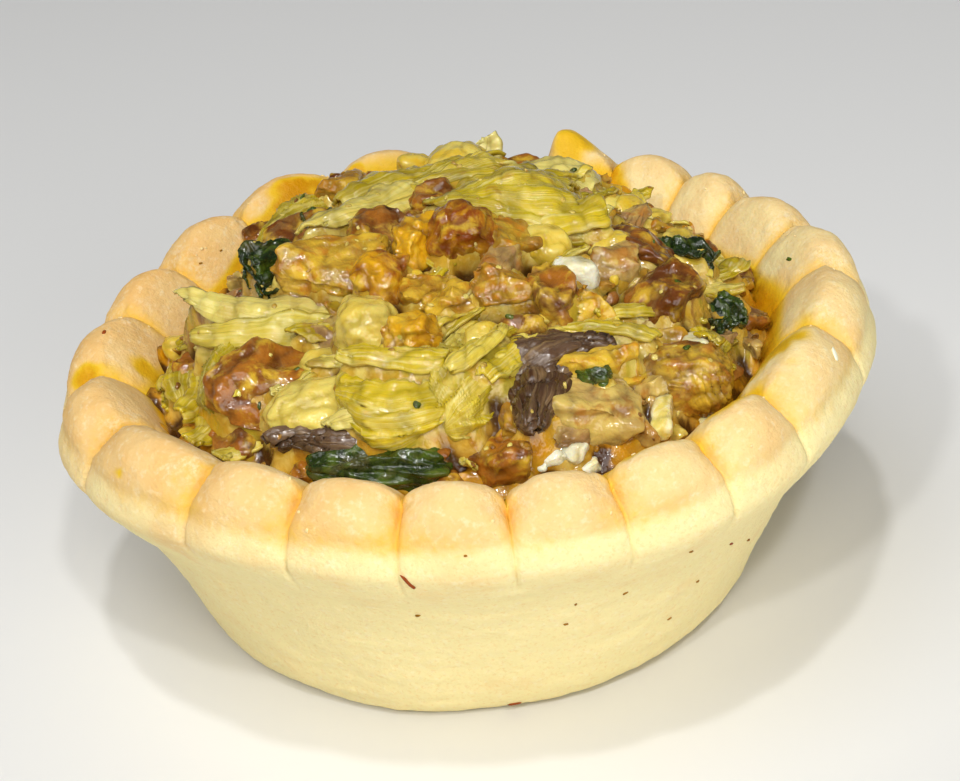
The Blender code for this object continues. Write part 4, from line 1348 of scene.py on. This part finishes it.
def bundle_shape(points, draw):
    """A folded bundle of leek whose layers lie over each other and gather at both ends."""
    x = points[:, 0]
    turn = np.arctan2(points[:, 1], points[:, 2])
    phase = draw.uniform(0, 6)
    layer = BUNDLE_LAYERS * turn / (2 * math.pi)
    layer = layer + 0.45 * np.sin(1.6 * x + phase) + 0.12 * np.sin(4.3 * x + 2 * phase)
    step = layer - np.floor(layer)
    fibres = 0.02 * np.cos(12 * math.pi * layer) + 0.012 * np.cos(22 * math.pi * layer + 3 * x)
    shape = squared(points, 0.78)
    shape[:, 1:] *= (0.86 + 0.20 * step**1.6 + fibres)[:, None]
    shape[:, 1] += 0.30 * np.sin(1.5 * x + phase) + 0.10 * np.sin(3.7 * x + phase)
    shape[:, 2] += 0.16 * np.cos(2.4 * x + phase)
    return torn(shape, draw, 0.9, 0.10), layer


def place_of(row):
    """Where a row puts its piece: turned, leaning and rolled on the heap."""
    x, y, lift, _, turn, lean, roll = row[:7]
    return (
        Matrix.Translation((x, y, float(heap_height(x, y)) + lift))
        @ Matrix.Rotation(math.radians(turn), 4, "Z")
        @ Matrix.Rotation(math.radians(-lean), 4, "Y")
        @ Matrix.Rotation(math.radians(roll), 4, "X")
    )


def moved(points, place):
    """Points brought to a place."""
    matrix = np.array(place)
    return points @ matrix[:3, :3].T + matrix[:3, 3]


def join_parts(name, parts):
    """One mesh object from many parts: each has points, faces and its values."""
    offset = 0
    points, faces = [], []
    values = {}
    for part_points, part_faces, part_values in parts:
        points.append(part_points)
        faces.append(part_faces + offset)
        offset += len(part_points)
        for key, numbers in part_values.items():
            values.setdefault(key, []).append(np.broadcast_to(numbers, len(part_points)))
    mesh = bpy.data.meshes.new(name)
    mesh.from_pydata(np.concatenate(points).tolist(), [], np.concatenate(faces).tolist())
    piece = bpy.data.objects.new(name, mesh)
    bpy.context.scene.collection.objects.link(piece)
    for key, numbers in values.items():
        note_values(piece, key, np.concatenate(numbers))
    return piece


def note_depth(piece):
    """Note how deep each point sits: 1 at the core, 0 from about two millimetres over it."""
    points = get_points(piece)
    over = points[:, 2] - heap_height(points[:, 0], points[:, 1])
    note_values(piece, "deep", 1 - smooth_step(over, -0.4, 1.7))


# The inside of the case wall: heights, and how far out the wall stands at each; and its lowest filling
WALL_HEIGHTS = (16.0, 21.5, 24.5, 26.5)
WALL_RADII = (22.0, 24.0, 26.0, 30.4)
LOWEST_FILLING = 14.0


def keep_inside(piece):
    """Hold the piece's points over the floor of the case and inside its wall."""
    points = get_points(piece)
    angle = np.arctan2(points[:, 0], -points[:, 1])
    reach = np.hypot(points[:, 0], points[:, 1])
    wall = np.interp(points[:, 2], WALL_HEIGHTS, WALL_RADII) * (1 + wave(angle, RIM_SWAY))
    squeeze = np.minimum(1.0, wall / np.maximum(reach, 0.001))
    points[:, :2] *= squeeze[:, None]
    points[:, 2] = np.maximum(points[:, 2], LOWEST_FILLING)
    set_points(piece, points)


def lay(piece, material, thickness=0.0):
    """Hold a shaped piece inside the case, give its layers their thickness and settle it on the heap."""
    keep_inside(piece)
    if thickness:
        wall = piece.modifiers.new("Thickness", "SOLIDIFY")
        wall.thickness = thickness
        wall.offset = 0.0
        apply_all(piece)
    note_depth(piece)
    settle(piece, material, "filling", "mushroom_filling")


def rumple(piece, bend, wrinkle, fold):
    """Bend a piece, wrinkle it and fold valleys into it: each a size and a depth in millimetres."""
    clouds(piece, *bend)
    clouds(piece, *wrinkle)
    crease(piece, *fold)


def build_lumps(name, rows, shaper, material, small=(), level=5, wrinkle=(1.3, 0.25), fold=0.21):
    """One piece from rows of large and small lumps of one kind."""
    parts = []
    for group, detail in ((rows, level), (small, level - 1)):
        if not group:
            continue
        points, faces = ball_points(detail)
        for number, row in enumerate(group):
            draw = random.Random(f"{name} {detail} {number}")
            shape = shaper(points, draw) * (np.array(row[3]) / 2)
            parts.append((moved(shape, place_of(row)), faces, {"tint": row[7]}))
    piece = join_parts(name, parts)
    rumple(piece, (2.8, 0.8), wrinkle, (1.5, fold))
    lay(piece, material)


def ribbon(points, size, arch, cup, twist, fan, draw):
    """One layer of leek: arched along its length, cupped across it and narrower at one end."""
    along, across = points[:, 0], points[:, 1]
    phase = draw.uniform(0, 6)
    width = size[1] / 2 * (1 - fan * 0.5 * (1 - along)) * (1 - 0.4 * np.abs(along) ** 7)
    edge = 0.08 * np.sin(5 * along + phase) + 0.05 * np.sin(11 * along + 2 * phase)
    y = across * width * (1 + edge) + 0.12 * size[1] * np.sin(1.8 * along + phase)
    x = along * size[0] / 2 + draw.uniform(-0.45, 0.45) * across * size[1]
    z = arch * (1 - along**2) + cup * (1 - across**2) + 0.05 * np.cos(9 * across + phase)
    y = y + draw.uniform(-0.08, 0.08) * size[0] * along**2
    z = z + 0.25 * size[2] * np.sin(2.2 * along + phase) + 0.03 * np.cos(23 * across + 2 * along)
    angle = twist * along
    turned_y = y * np.cos(angle) - z * np.sin(angle)
    turned_z = y * np.sin(angle) + z * np.cos(angle)
    return np.stack([x, turned_y, turned_z], axis=-1)


def fold_layers(row, number, layer):
    """The layers of one folded leek, fanned out and lying over each other."""
    points, faces = layer
    draw = random.Random(f"fold {number}")
    length, width, thickness = row[3]
    parts = []
    for index in range(FOLD_LAYERS):
        share = index / (FOLD_LAYERS - 1) * 2 - 1
        size = (length * draw.uniform(0.8, 1.05), width * draw.uniform(0.42, 0.6), FOLD_WAVE)
        twist = draw.uniform(-0.25, 0.25)
        shape = ribbon(points, size, thickness * 0.32, thickness * 0.16, twist, 0.5, draw)
        rise = thickness * 0.24 * (1 - share**2) - 0.1 * thickness
        local = (
            Matrix.Translation((0.0, share * width * 0.30, rise))
            @ Matrix.Rotation(share * 0.30 + draw.uniform(-0.06, 0.06), 4, "Z")
            @ Matrix.Rotation(-share * 0.75, 4, "X")
        )
        tint = row[7] + draw.uniform(-0.15, 0.15)
        values = {"tint": tint, "along": points[:, 0], "across": points[:, 1] + 3.7 * index}
        parts.append((moved(shape, place_of(row) @ local), faces, values))
    return parts


def build_bundles(name, rows, material):
    """Folded bundles of leek as one piece."""
    points, faces = spindle_points(112, 72)
    parts = []
    for number, row in enumerate(rows):
        shape, layer = bundle_shape(points, random.Random(f"{name} {number}"))
        values = {"tint": row[7] + 0.12 * np.sin(5 * layer), "along": points[:, 0], "across": 0.7 * layer}
        parts.append((moved(shape * (np.array(row[3]) / 2), place_of(row)), faces, values))
    piece = join_parts(name, parts)
    rumple(piece, (2.8, 1.0), (0.7, 0.18), (2.0, 0.12))
    lay(piece, material)


def build_layers(name, folds, strips, material, thickness, fan=0.25, cup=0.14):
    """Folds and strips of leek, or slices of mushroom, as one piece, each layer with its thickness."""
    layer = layer_points(44, 14)
    parts = []
    for number, row in enumerate(folds):
        parts += fold_layers(row, number, layer)
    points, faces = layer
    for number, row in enumerate(strips):
        draw = random.Random(f"{name} strip {number}")
        arch, hollow = row[3][0] * 0.06, row[3][1] * cup
        shape = ribbon(points, row[3], arch, hollow, draw.uniform(-0.3, 0.3), fan, draw)
        values = {"tint": row[7], "along": points[:, 0], "across": points[:, 1] + 3.1 * number}
        parts.append((moved(shape, place_of(row)), faces, values))
    piece = join_parts(name, parts)
    rumple(piece, LEEK_BEND, LEEK_WRINKLE, (2.2, 0.12))
    lay(piece, material, thickness)


def leaf_shape(points, fold, draw):
    """One crumpled layer of a leaf, with a ragged outline."""
    away = draw.uniform(0, 90)
    shape = points * (1, 1, 0)
    outline = 1 - 0.25 * np.abs(shape[:, 0]) ** 3 + 0.15 * random_field(shape + away, 0.6, 1)
    shape = shape * outline[:, None]
    rise = 0.75 * random_field(shape + away, 0.55, 2) + 0.22 * random_field(shape + away, 0.25, 3)
    slide = 0.5 * random_field(shape + away, 0.6, 4)
    return np.stack([shape[:, 0], shape[:, 1] + 0.5 * slide, rise + 0.25 * fold], axis=-1)


def build_leaves(name, rows, material, thickness):
    """Crumpled spinach leaves, each folded over itself."""
    points, faces = layer_points(40, 36)
    parts = []
    for number, row in enumerate(rows):
        for fold in range(LEAF_FOLDS):
            draw = random.Random(f"{name} {number} {fold}")
            shape = leaf_shape(points, fold, draw) * (np.array(row[3]) / 2)
            turn, tip = draw.uniform(-0.6, 0.6), draw.uniform(-0.5, 0.5)
            local = Matrix.Rotation(turn, 4, "Z") @ Matrix.Rotation(tip, 4, "X")
            values = {"tint": row[7], "along": points[:, 0], "across": points[:, 1] + 2.9 * number + fold}
            parts.append((moved(shape, place_of(row) @ local), faces, values))
    piece = join_parts(name, parts)
    rumple(piece, (0.9, 0.7), (0.4, 0.25), (1.0, 0.2))
    lay(piece, material, thickness)


# Small pieces between the large ones

LARGE_ROWS = (
    *MUSHROOMS, *GILLED, *DARK_SLICES, *BROWNED, *GOLDEN, *CREAM_CHUNKS, *CHEESE, *WHITE_BITS, *LEEK_BUNDLES,
    *LEEK_FOLDS, *LEEK_STRIPS, *LEEK_POINTED, *SPINACH_ROLL, *SPINACH_LEAVES,
)
# Pieces that stay free of crumbs
CLEAN_ROWS = WHITE_BITS + SPINACH_ROLL + SPINACH_LEAVES + CHEESE[:1] + DARK_SLICES
FILLER_KINDS = ("mushroom", "golden", "cheese", "cream", "mushroom", "cream", "cheese", "golden")
FILLER_LENGTH = (1.5, 4.4)
FILLER_LIFT = (0.1, 0.8)
# Small pieces near the edge lie higher, from this share of the radius on
EDGE_SHARE = 0.75
EDGE_LIFT = 0.8
COVERED_SHARE = 0.8
SHRED_LENGTH = (2.2, 5.5)
SHRED_LIFT = (0.4, 1.3)
GOLDEN_ANGLE = math.pi * (3 - math.sqrt(5))


def is_over(x, y, row):
    """Whether a point lies over the middle of a piece."""
    turn = math.radians(row[4])
    along = (x - row[0]) * math.cos(turn) + (y - row[1]) * math.sin(turn)
    across = (y - row[1]) * math.cos(turn) - (x - row[0]) * math.sin(turn)
    return math.hypot(along / (row[3][0] / 2), across / (row[3][1] / 2)) < COVERED_SHARE


def small_rows(kind, count):
    """Small pieces of one kind, in the room that the large ones leave on the heap."""
    draw = random.Random(SEED)
    rows = []
    for index in range(count):
        share = math.sqrt((index + 0.5) / count)
        angle = index * GOLDEN_ANGLE
        reach = share * (HEAP_RADIUS - 0.4) * (1 + float(wave(angle, RIM_SWAY)))
        x = reach * math.sin(angle) + draw.uniform(-0.6, 0.6)
        y = -reach * math.cos(angle) + draw.uniform(-0.6, 0.6)
        length = draw.uniform(*FILLER_LENGTH)
        size = (length, length * draw.uniform(0.45, 0.9), length * draw.uniform(0.3, 0.7))
        lift = draw.uniform(*FILLER_LIFT) + EDGE_LIFT * max(0.0, share - EDGE_SHARE) / (1 - EDGE_SHARE)
        turns = (draw.uniform(0, 360), draw.uniform(-25, 25), draw.uniform(-25, 25))
        dark = draw.uniform(0.1, 0.9)
        own_kind = draw.choice(FILLER_KINDS)
        covered = any(is_over(x, y, row) for row in LARGE_ROWS)
        if own_kind == kind and not covered:
            rows.append((x, y, lift, size, *turns, dark))
    return rows


def shred_rows(count):
    """Small shreds of leek all over the heap."""
    draw = random.Random(SEED + 1)
    rows = []
    for _ in range(count):
        angle = draw.uniform(0, 2 * math.pi)
        reach = (HEAP_RADIUS - 1.2) * math.sqrt(draw.random()) * (1 + float(wave(angle, RIM_SWAY)))
        length = draw.uniform(*SHRED_LENGTH)
        size = (length, length * draw.uniform(0.25, 0.55), 0.4)
        turns = (draw.uniform(0, 360), draw.uniform(-20, 20), draw.uniform(-35, 35))
        place = (reach * math.sin(angle), -reach * math.cos(angle), draw.uniform(*SHRED_LIFT))
        rows.append((*place, size, *turns, draw.uniform(-0.7, 0.9)))
    return rows


def build_scatter(name, count, reach, lengths, material, power=0.9):
    """Small bits that lie on whatever is on top, between two distances from the middle."""
    near, far = reach
    draw = random.Random(name)
    points, faces = ball_points(2)
    tree = surface_of(LAID)
    parts = []
    for number in range(count):
        angle = draw.uniform(0, 2 * math.pi)
        away = math.sqrt(draw.uniform(near**2, far**2)) * (1 + float(wave(angle, RIM_SWAY)))
        length = draw.uniform(*lengths)
        size = np.array((length, length * draw.uniform(0.4, 1), length * draw.uniform(0.25, 0.5))) / 2
        turn = (draw.uniform(0, 6.3), draw.uniform(-0.5, 0.5))
        dark = 0.6 * draw.random()
        hit = top_at(tree, away * math.sin(angle), -away * math.cos(angle))
        if hit is None:
            continue
        spot, normal = hit
        if any(is_over(spot.x, spot.y, row) for row in CLEAN_ROWS):
            continue
        shape = torn(squared(points, power), random.Random(number), 0.5, 0.3) * size
        place = standing(spot, normal, turn[0]) @ Matrix.Rotation(turn[1], 4, "X")
        parts.append((moved(shape, place), faces, {"tint": dark, "deep": 0.0, "crease": 0.0}))
    settle(join_parts(name, parts), material, "filling", "mushroom_filling")


# Operators: one for each piece or group of like pieces


class TartletOperator:
    """What every operator shares."""

    bl_options = {"REGISTER", "UNDO"}

    def execute(self, context):
        scene = context.scene
        self.build(scene.tartlet_sizes, scene.tartlet_colours, scene.tartlet_light)
        return {"FINISHED"}


class TARTLET_OT_crust(TartletOperator, bpy.types.Operator):
    """Turn and press the shortcrust case"""

    bl_idname = "tartlet.crust"
    bl_label = "Crust"

    def build(self, sizes, tints, light):
        build_crust(sizes, tints)


class TARTLET_OT_flecks(TartletOperator, bpy.types.Operator):
    """Press the baked-on flecks onto the crust"""

    bl_idname = "tartlet.flecks"
    bl_label = "Flecks"

    def build(self, sizes, tints, light):
        build_flecks(tints)


class TARTLET_OT_mushrooms(TartletOperator, bpy.types.Operator):
    """Lay the mushroom chunks"""

    bl_idname = "tartlet.mushrooms"
    bl_label = "Mushrooms"

    def build(self, sizes, tints, light):
        shades = (tints.mushroom_light, tints.mushroom_dark)
        material = food_material("cooked_mushroom", tints, *shades, 3.2, accent=tints.golden_light)
        small = small_rows("mushroom", sizes.filler_count)
        build_lumps("mushroom_chunks", MUSHROOMS, mushroom_shape, material, small)


class TARTLET_OT_gilled(TartletOperator, bpy.types.Operator):
    """Lay the mushroom half that shows its gills"""

    bl_idname = "tartlet.gilled"
    bl_label = "Gilled mushroom"

    def build(self, sizes, tints, light):
        shades = (tints.golden_light, tints.mushroom_dark)
        material = food_material("gilled_mushroom", tints, *shades, 2.4, accent=tints.mushroom_light)
        build_lumps("gilled_mushroom", GILLED, gilled_shape, material, wrinkle=(1.3, 0.2))


class TARTLET_OT_slices(TartletOperator, bpy.types.Operator):
    """Lay the dark fibrous mushroom slices"""

    bl_idname = "tartlet.slices"
    bl_label = "Dark mushroom"

    def build(self, sizes, tints, light):
        shades = (tints.slice_light, tints.slice_purple, tints.slice_dark)
        material = fibre_material("dark_mushroom", tints, shades, 5.0, coated=0.25, film=0.0)
        build_layers("dark_mushroom_slices", DARK_SLICES, (), material, SLICE_THICKNESS)


class TARTLET_OT_browned(TartletOperator, bpy.types.Operator):
    """Lay the browned cheese"""

    bl_idname = "tartlet.browned"
    bl_label = "Browned cheese"

    def build(self, sizes, tints, light):
        shades = (tints.browned_light, tints.browned_dark)
        material = food_material(
            "browned_cheese", tints, *shades, 3.0, accent=tints.golden_light, coated=0.35
        )
        build_lumps("browned_cheese", BROWNED, browned_shape, material, wrinkle=(0.9, 0.35))


class TARTLET_OT_golden(TartletOperator, bpy.types.Operator):
    """Lay the golden coated chunks"""

    bl_idname = "tartlet.golden"
    bl_label = "Golden chunks"

    def build(self, sizes, tints, light):
        shades = (tints.golden_light, tints.golden_dark)
        material = food_material("golden_chunks", tints, *shades, 2.6, accent=tints.orange)
        small = small_rows("golden", sizes.filler_count)
        build_lumps("golden_chunks", GOLDEN, chunk_shape, material, small, wrinkle=(1.2, 0.35))


class TARTLET_OT_cream(TartletOperator, bpy.types.Operator):
    """Lay the creamy chunks with pinkish sides"""

    bl_idname = "tartlet.cream"
    bl_label = "Creamy chunks"

    def build(self, sizes, tints, light):
        shades = (tints.cream_light, tints.cream_dark)
        material = food_material(
            "creamy_chunks", tints, *shades, 3.6, accent=tints.mushroom_light, coated=0.3
        )
        small = small_rows("cream", sizes.filler_count)
        build_lumps(
            "creamy_chunks", CREAM_CHUNKS, chunk_shape, material, small, wrinkle=(1.3, 0.12), fold=0.084
        )


class TARTLET_OT_cheese(TartletOperator, bpy.types.Operator):
    """Lay the soft cheese"""

    bl_idname = "tartlet.cheese"
    bl_label = "Soft cheese"

    def build(self, sizes, tints, light):
        shades = (tints.cheese_light, tints.cheese_dark)
        material = food_material("soft_cheese", tints, *shades, 3.4, gloss=0.24, skin=0.3)
        small = small_rows("cheese", sizes.filler_count)
        build_lumps("soft_cheese", CHEESE, cheese_shape, material, small, wrinkle=(1.5, 0.2), fold=0.084)


class TARTLET_OT_white(TartletOperator, bpy.types.Operator):
    """Lay the small white cubes and rods"""

    bl_idname = "tartlet.white"
    bl_label = "White bits"

    def build(self, sizes, tints, light):
        shades = (tints.white_light, tints.cheese_light)
        material = food_material("white_bits", tints, *shades, 1.8, coated=0.15, skin=0.3)
        build_lumps("white_bits", WHITE_BITS, cube_shape, material, level=4, wrinkle=(1.3, 0.12), fold=0.07)


class TARTLET_OT_leek(TartletOperator, bpy.types.Operator):
    """Lay the folded leeks, the leek strips and the ring"""

    bl_idname = "tartlet.leek"
    bl_label = "Leek"

    def build(self, sizes, tints, light):
        greens = (tints.leek_light, tints.leek_yellow, tints.leek_green)
        thickness = sizes.leek_thickness / MM
        build_bundles("leek_bundles", LEEK_BUNDLES, fibre_material("leek_bundles", tints, greens, 3.0))
        folds = fibre_material("leek_folds", tints, greens, 14.0, coated=0.5, stain=0.6, film=0.15)
        build_layers("leek_folds", LEEK_FOLDS, LEEK_RING, folds, thickness)
        strips = fibre_material("leek_strips", tints, greens, 6.0, stain=0.3)
        build_layers("leek_strips", (), LEEK_STRIPS, strips, thickness)
        build_layers("pointed_leek", (), LEEK_POINTED, strips, thickness, fan=0.6, cup=0.05)
        shreds = fibre_material("leek_shreds", tints, greens, 4.0, coated=0.45, stain=0.6)
        build_layers("leek_shreds", (), shred_rows(sizes.shred_count), shreds, thickness * 0.8)


class TARTLET_OT_spinach(TartletOperator, bpy.types.Operator):
    """Lay the spinach"""

    bl_idname = "tartlet.spinach"
    bl_label = "Spinach"

    def build(self, sizes, tints, light):
        # The lighter green on the leaves and the roll is partly a painted highlight
        light_green, dark_green = tints.spinach_light, tints.spinach_dark
        leaf = fibre_material("spinach", tints, (light_green, dark_green, dark_green), 5.0, film=0.1)
        build_leaves("spinach_leaves", SPINACH_LEAVES, leaf, sizes.leaf_thickness / MM)
        roll = food_material(
            "spinach_roll", tints, light_green, dark_green, 2.0, gloss=0.22, coated=0.25, film=0.1
        )
        build_lumps("spinach_roll", SPINACH_ROLL, roll_shape, roll, wrinkle=(0.7, 0.2))


class TARTLET_OT_coating(TartletOperator, bpy.types.Operator):
    """Pour the melted cheese and egg that the pieces lie in"""

    bl_idname = "tartlet.coating"
    bl_label = "Coating"

    def build(self, sizes, tints, light):
        build_coating(tints)


class TARTLET_OT_crumbs(TartletOperator, bpy.types.Operator):
    """Scatter crumbs over the heap"""

    bl_idname = "tartlet.crumbs"
    bl_label = "Crumbs"

    def build(self, sizes, tints, light):
        count = sizes.crumb_count
        pale = food_material("crumbs", tints, tints.coat_light, tints.golden_dark, 0.8, coated=0.6)
        build_scatter("crumbs", count, (0.0, HEAP_RADIUS), (0.25, 0.65), pale)
        herb = food_material("herb_bits", tints, tints.spinach_light, tints.spinach_dark, 0.8, coated=0.3)
        build_scatter("herb_bits", count // 8, (2.0, HEAP_RADIUS - 1.0), (0.35, 0.9), herb, 0.7)
        brown = food_material("brown_crumbs", tints, tints.golden_dark, tints.mushroom_dark, 0.8, coated=0.3)
        rim = (HEAP_RADIUS - 1.4, HEAP_RADIUS + 0.9)
        build_scatter("brown_crumbs", count // 2, rim, (0.3, 0.9), brown)


class TARTLET_OT_stage(TartletOperator, bpy.types.Operator):
    """Set the floor, the lights and the camera"""

    bl_idname = "tartlet.stage"
    bl_label = "Stage"

    def build(self, sizes, tints, light):
        build_floor(tints)
        build_lights(light)
        build_camera()


# The stage


FLOOR_SIZE = 6.0
FLOOR_ROUGHNESS = 0.8
LIGHT_AIM_HEIGHT = 0.015
WARM_WHITE = (1.0, 0.985, 0.95)
WHITE = (1.0, 1.0, 1.0)
# Small lights for the glints on wet food: angle round the tartlet and height, in degrees
GLINT_PLACES = ((14, 52), (-24, 42), (-10, 77))


def build_floor(tints):
    """A plain pale floor."""
    deselect()
    bpy.ops.mesh.primitive_plane_add(size=FLOOR_SIZE)
    floor = bpy.context.object
    floor.name = "floor"
    paint = Paint("floor")
    paint.shader.inputs["Base Color"].default_value = tints.floor
    paint.shader.inputs["Roughness"].default_value = FLOOR_ROUGHNESS
    floor.data.materials.append(paint.material)


def add_light(name, power, size, azimuth, elevation, distance, tint=WHITE):
    """A soft square light that looks at the tartlet."""
    angle, rise = math.radians(azimuth), math.radians(elevation)
    away = Vector((math.sin(angle) * math.cos(rise), -math.cos(angle) * math.cos(rise), math.sin(rise)))
    data = bpy.data.lights.new(name, "AREA")
    data.energy = power
    data.size = size
    data.color = tint
    lamp = bpy.data.objects.new(name, data)
    lamp.location = away * distance + Vector((0, 0, LIGHT_AIM_HEIGHT))
    lamp.rotation_euler = (-away).to_track_quat("-Z", "Y").to_euler()
    bpy.context.scene.collection.objects.link(lamp)


def build_lights(light):
    """Plain soft studio light, most of it from the front."""
    add_light("key", light.key_power, 0.14, azimuth=3, elevation=46, distance=0.6, tint=WARM_WHITE)
    add_light("front", light.fill_power, 0.5, azimuth=27, elevation=14, distance=0.7)
    add_light("top", light.top_power, 0.35, azimuth=-60, elevation=66, distance=0.55)
    for azimuth, elevation in GLINT_PLACES:
        add_light("glint", light.glint_power, 0.035, azimuth, elevation, distance=0.6)
    world = bpy.data.worlds.new("room")
    world.use_nodes = True
    backdrop = world.node_tree.nodes["Background"]
    backdrop.inputs["Color"].default_value = (*WHITE, 1.0)
    backdrop.inputs["Strength"].default_value = light.room
    bpy.context.scene.world = world
    bpy.context.scene.view_settings.view_transform = "Standard"


# The camera that fits the photograph: the picture's size, the rim's radius in its pixels, and the pixel of
# the spot on the rim's axis that the camera looks at
PHOTO_WIDTH = 960
PHOTO_HEIGHT = 781
CAMERA_ELEVATION = math.radians(32.56)
CAMERA_ROLL = math.radians(6.57)
CAMERA_DISTANCE = 6 * RIM_RADIUS * MM
CAMERA_AIM_HEIGHT = 0.35 * RIM_RADIUS * MM
RIM_RADIUS_PIXELS = 382.6
AXIS_PIXEL = (483.55, 447.3)
SENSOR_MM = 36.0


def build_camera():
    """The camera at the photograph's angle and framing."""
    data = bpy.data.cameras.new("camera")
    camera = bpy.data.objects.new("camera", data)
    bpy.context.scene.collection.objects.link(camera)
    bpy.context.scene.camera = camera
    rise = CAMERA_ELEVATION
    back = Vector((0, -math.cos(rise), math.sin(rise)))
    right = Vector((1, 0, 0))
    up = Vector((0, math.sin(rise), math.cos(rise)))
    right, up = (
        right * math.cos(CAMERA_ROLL) - up * math.sin(CAMERA_ROLL),
        up * math.cos(CAMERA_ROLL) + right * math.sin(CAMERA_ROLL),
    )
    aim = Vector((-CASE_CENTRE[0] * MM, -CASE_CENTRE[1] * MM, CAMERA_AIM_HEIGHT))
    turn = Matrix((right, up, back)).transposed().to_4x4()
    camera.matrix_world = Matrix.Translation(aim + back * CAMERA_DISTANCE) @ turn
    focal_pixels = RIM_RADIUS_PIXELS / (RIM_RADIUS * MM) * CAMERA_DISTANCE
    data.sensor_width = SENSOR_MM
    data.lens = focal_pixels / PHOTO_WIDTH * SENSOR_MM
    data.shift_x = (PHOTO_WIDTH / 2 - AXIS_PIXEL[0]) / PHOTO_WIDTH
    data.shift_y = (AXIS_PIXEL[1] - PHOTO_HEIGHT / 2) / PHOTO_WIDTH
    data.clip_start = 0.01


OPERATORS = (
    TARTLET_OT_crust,
    TARTLET_OT_flecks,
    TARTLET_OT_mushrooms,
    TARTLET_OT_gilled,
    TARTLET_OT_slices,
    TARTLET_OT_browned,
    TARTLET_OT_golden,
    TARTLET_OT_cream,
    TARTLET_OT_cheese,
    TARTLET_OT_white,
    TARTLET_OT_leek,
    TARTLET_OT_spinach,
    TARTLET_OT_coating,
    TARTLET_OT_crumbs,
    TARTLET_OT_stage,
)


class TARTLET_PT_panel(bpy.types.Panel):
    """Lists the tartlet's pieces and settings"""

    bl_idname = "TARTLET_PT_panel"
    bl_label = "Mushroom tartlet"
    bl_space_type = "VIEW_3D"
    bl_region_type = "UI"
    bl_category = "Tartlet"

    def draw(self, context):
        scene = context.scene
        for group in (scene.tartlet_sizes, scene.tartlet_colours, scene.tartlet_light):
            box = self.layout.box()
            for name in type(group).__annotations__:
                box.prop(group, name)
        for operator in OPERATORS:
            self.layout.operator(operator.bl_idname)


GROUPS = (TartletSizes, TartletColours, TartletLight)


def register():
    """Make the settings, the operators and the panel known."""
    for item in (*GROUPS, *OPERATORS, TARTLET_PT_panel):
        bpy.utils.register_class(item)
    bpy.types.Scene.tartlet_sizes = bpy.props.PointerProperty(type=TartletSizes)
    bpy.types.Scene.tartlet_colours = bpy.props.PointerProperty(type=TartletColours)
    bpy.types.Scene.tartlet_light = bpy.props.PointerProperty(type=TartletLight)


def unregister():
    """Take the settings, the operators and the panel away again."""
    del bpy.types.Scene.tartlet_light
    del bpy.types.Scene.tartlet_colours
    del bpy.types.Scene.tartlet_sizes
    for item in reversed((*GROUPS, *OPERATORS, TARTLET_PT_panel)):
        bpy.utils.unregister_class(item)


def main():
    """Make the add-on known, and build the tartlet and its stage."""
    register()
    for operator in OPERATORS:
        group, name = operator.bl_idname.split(".")
        getattr(getattr(bpy.ops, group), name)()
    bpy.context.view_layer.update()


if __name__ == "__main__":
    main()
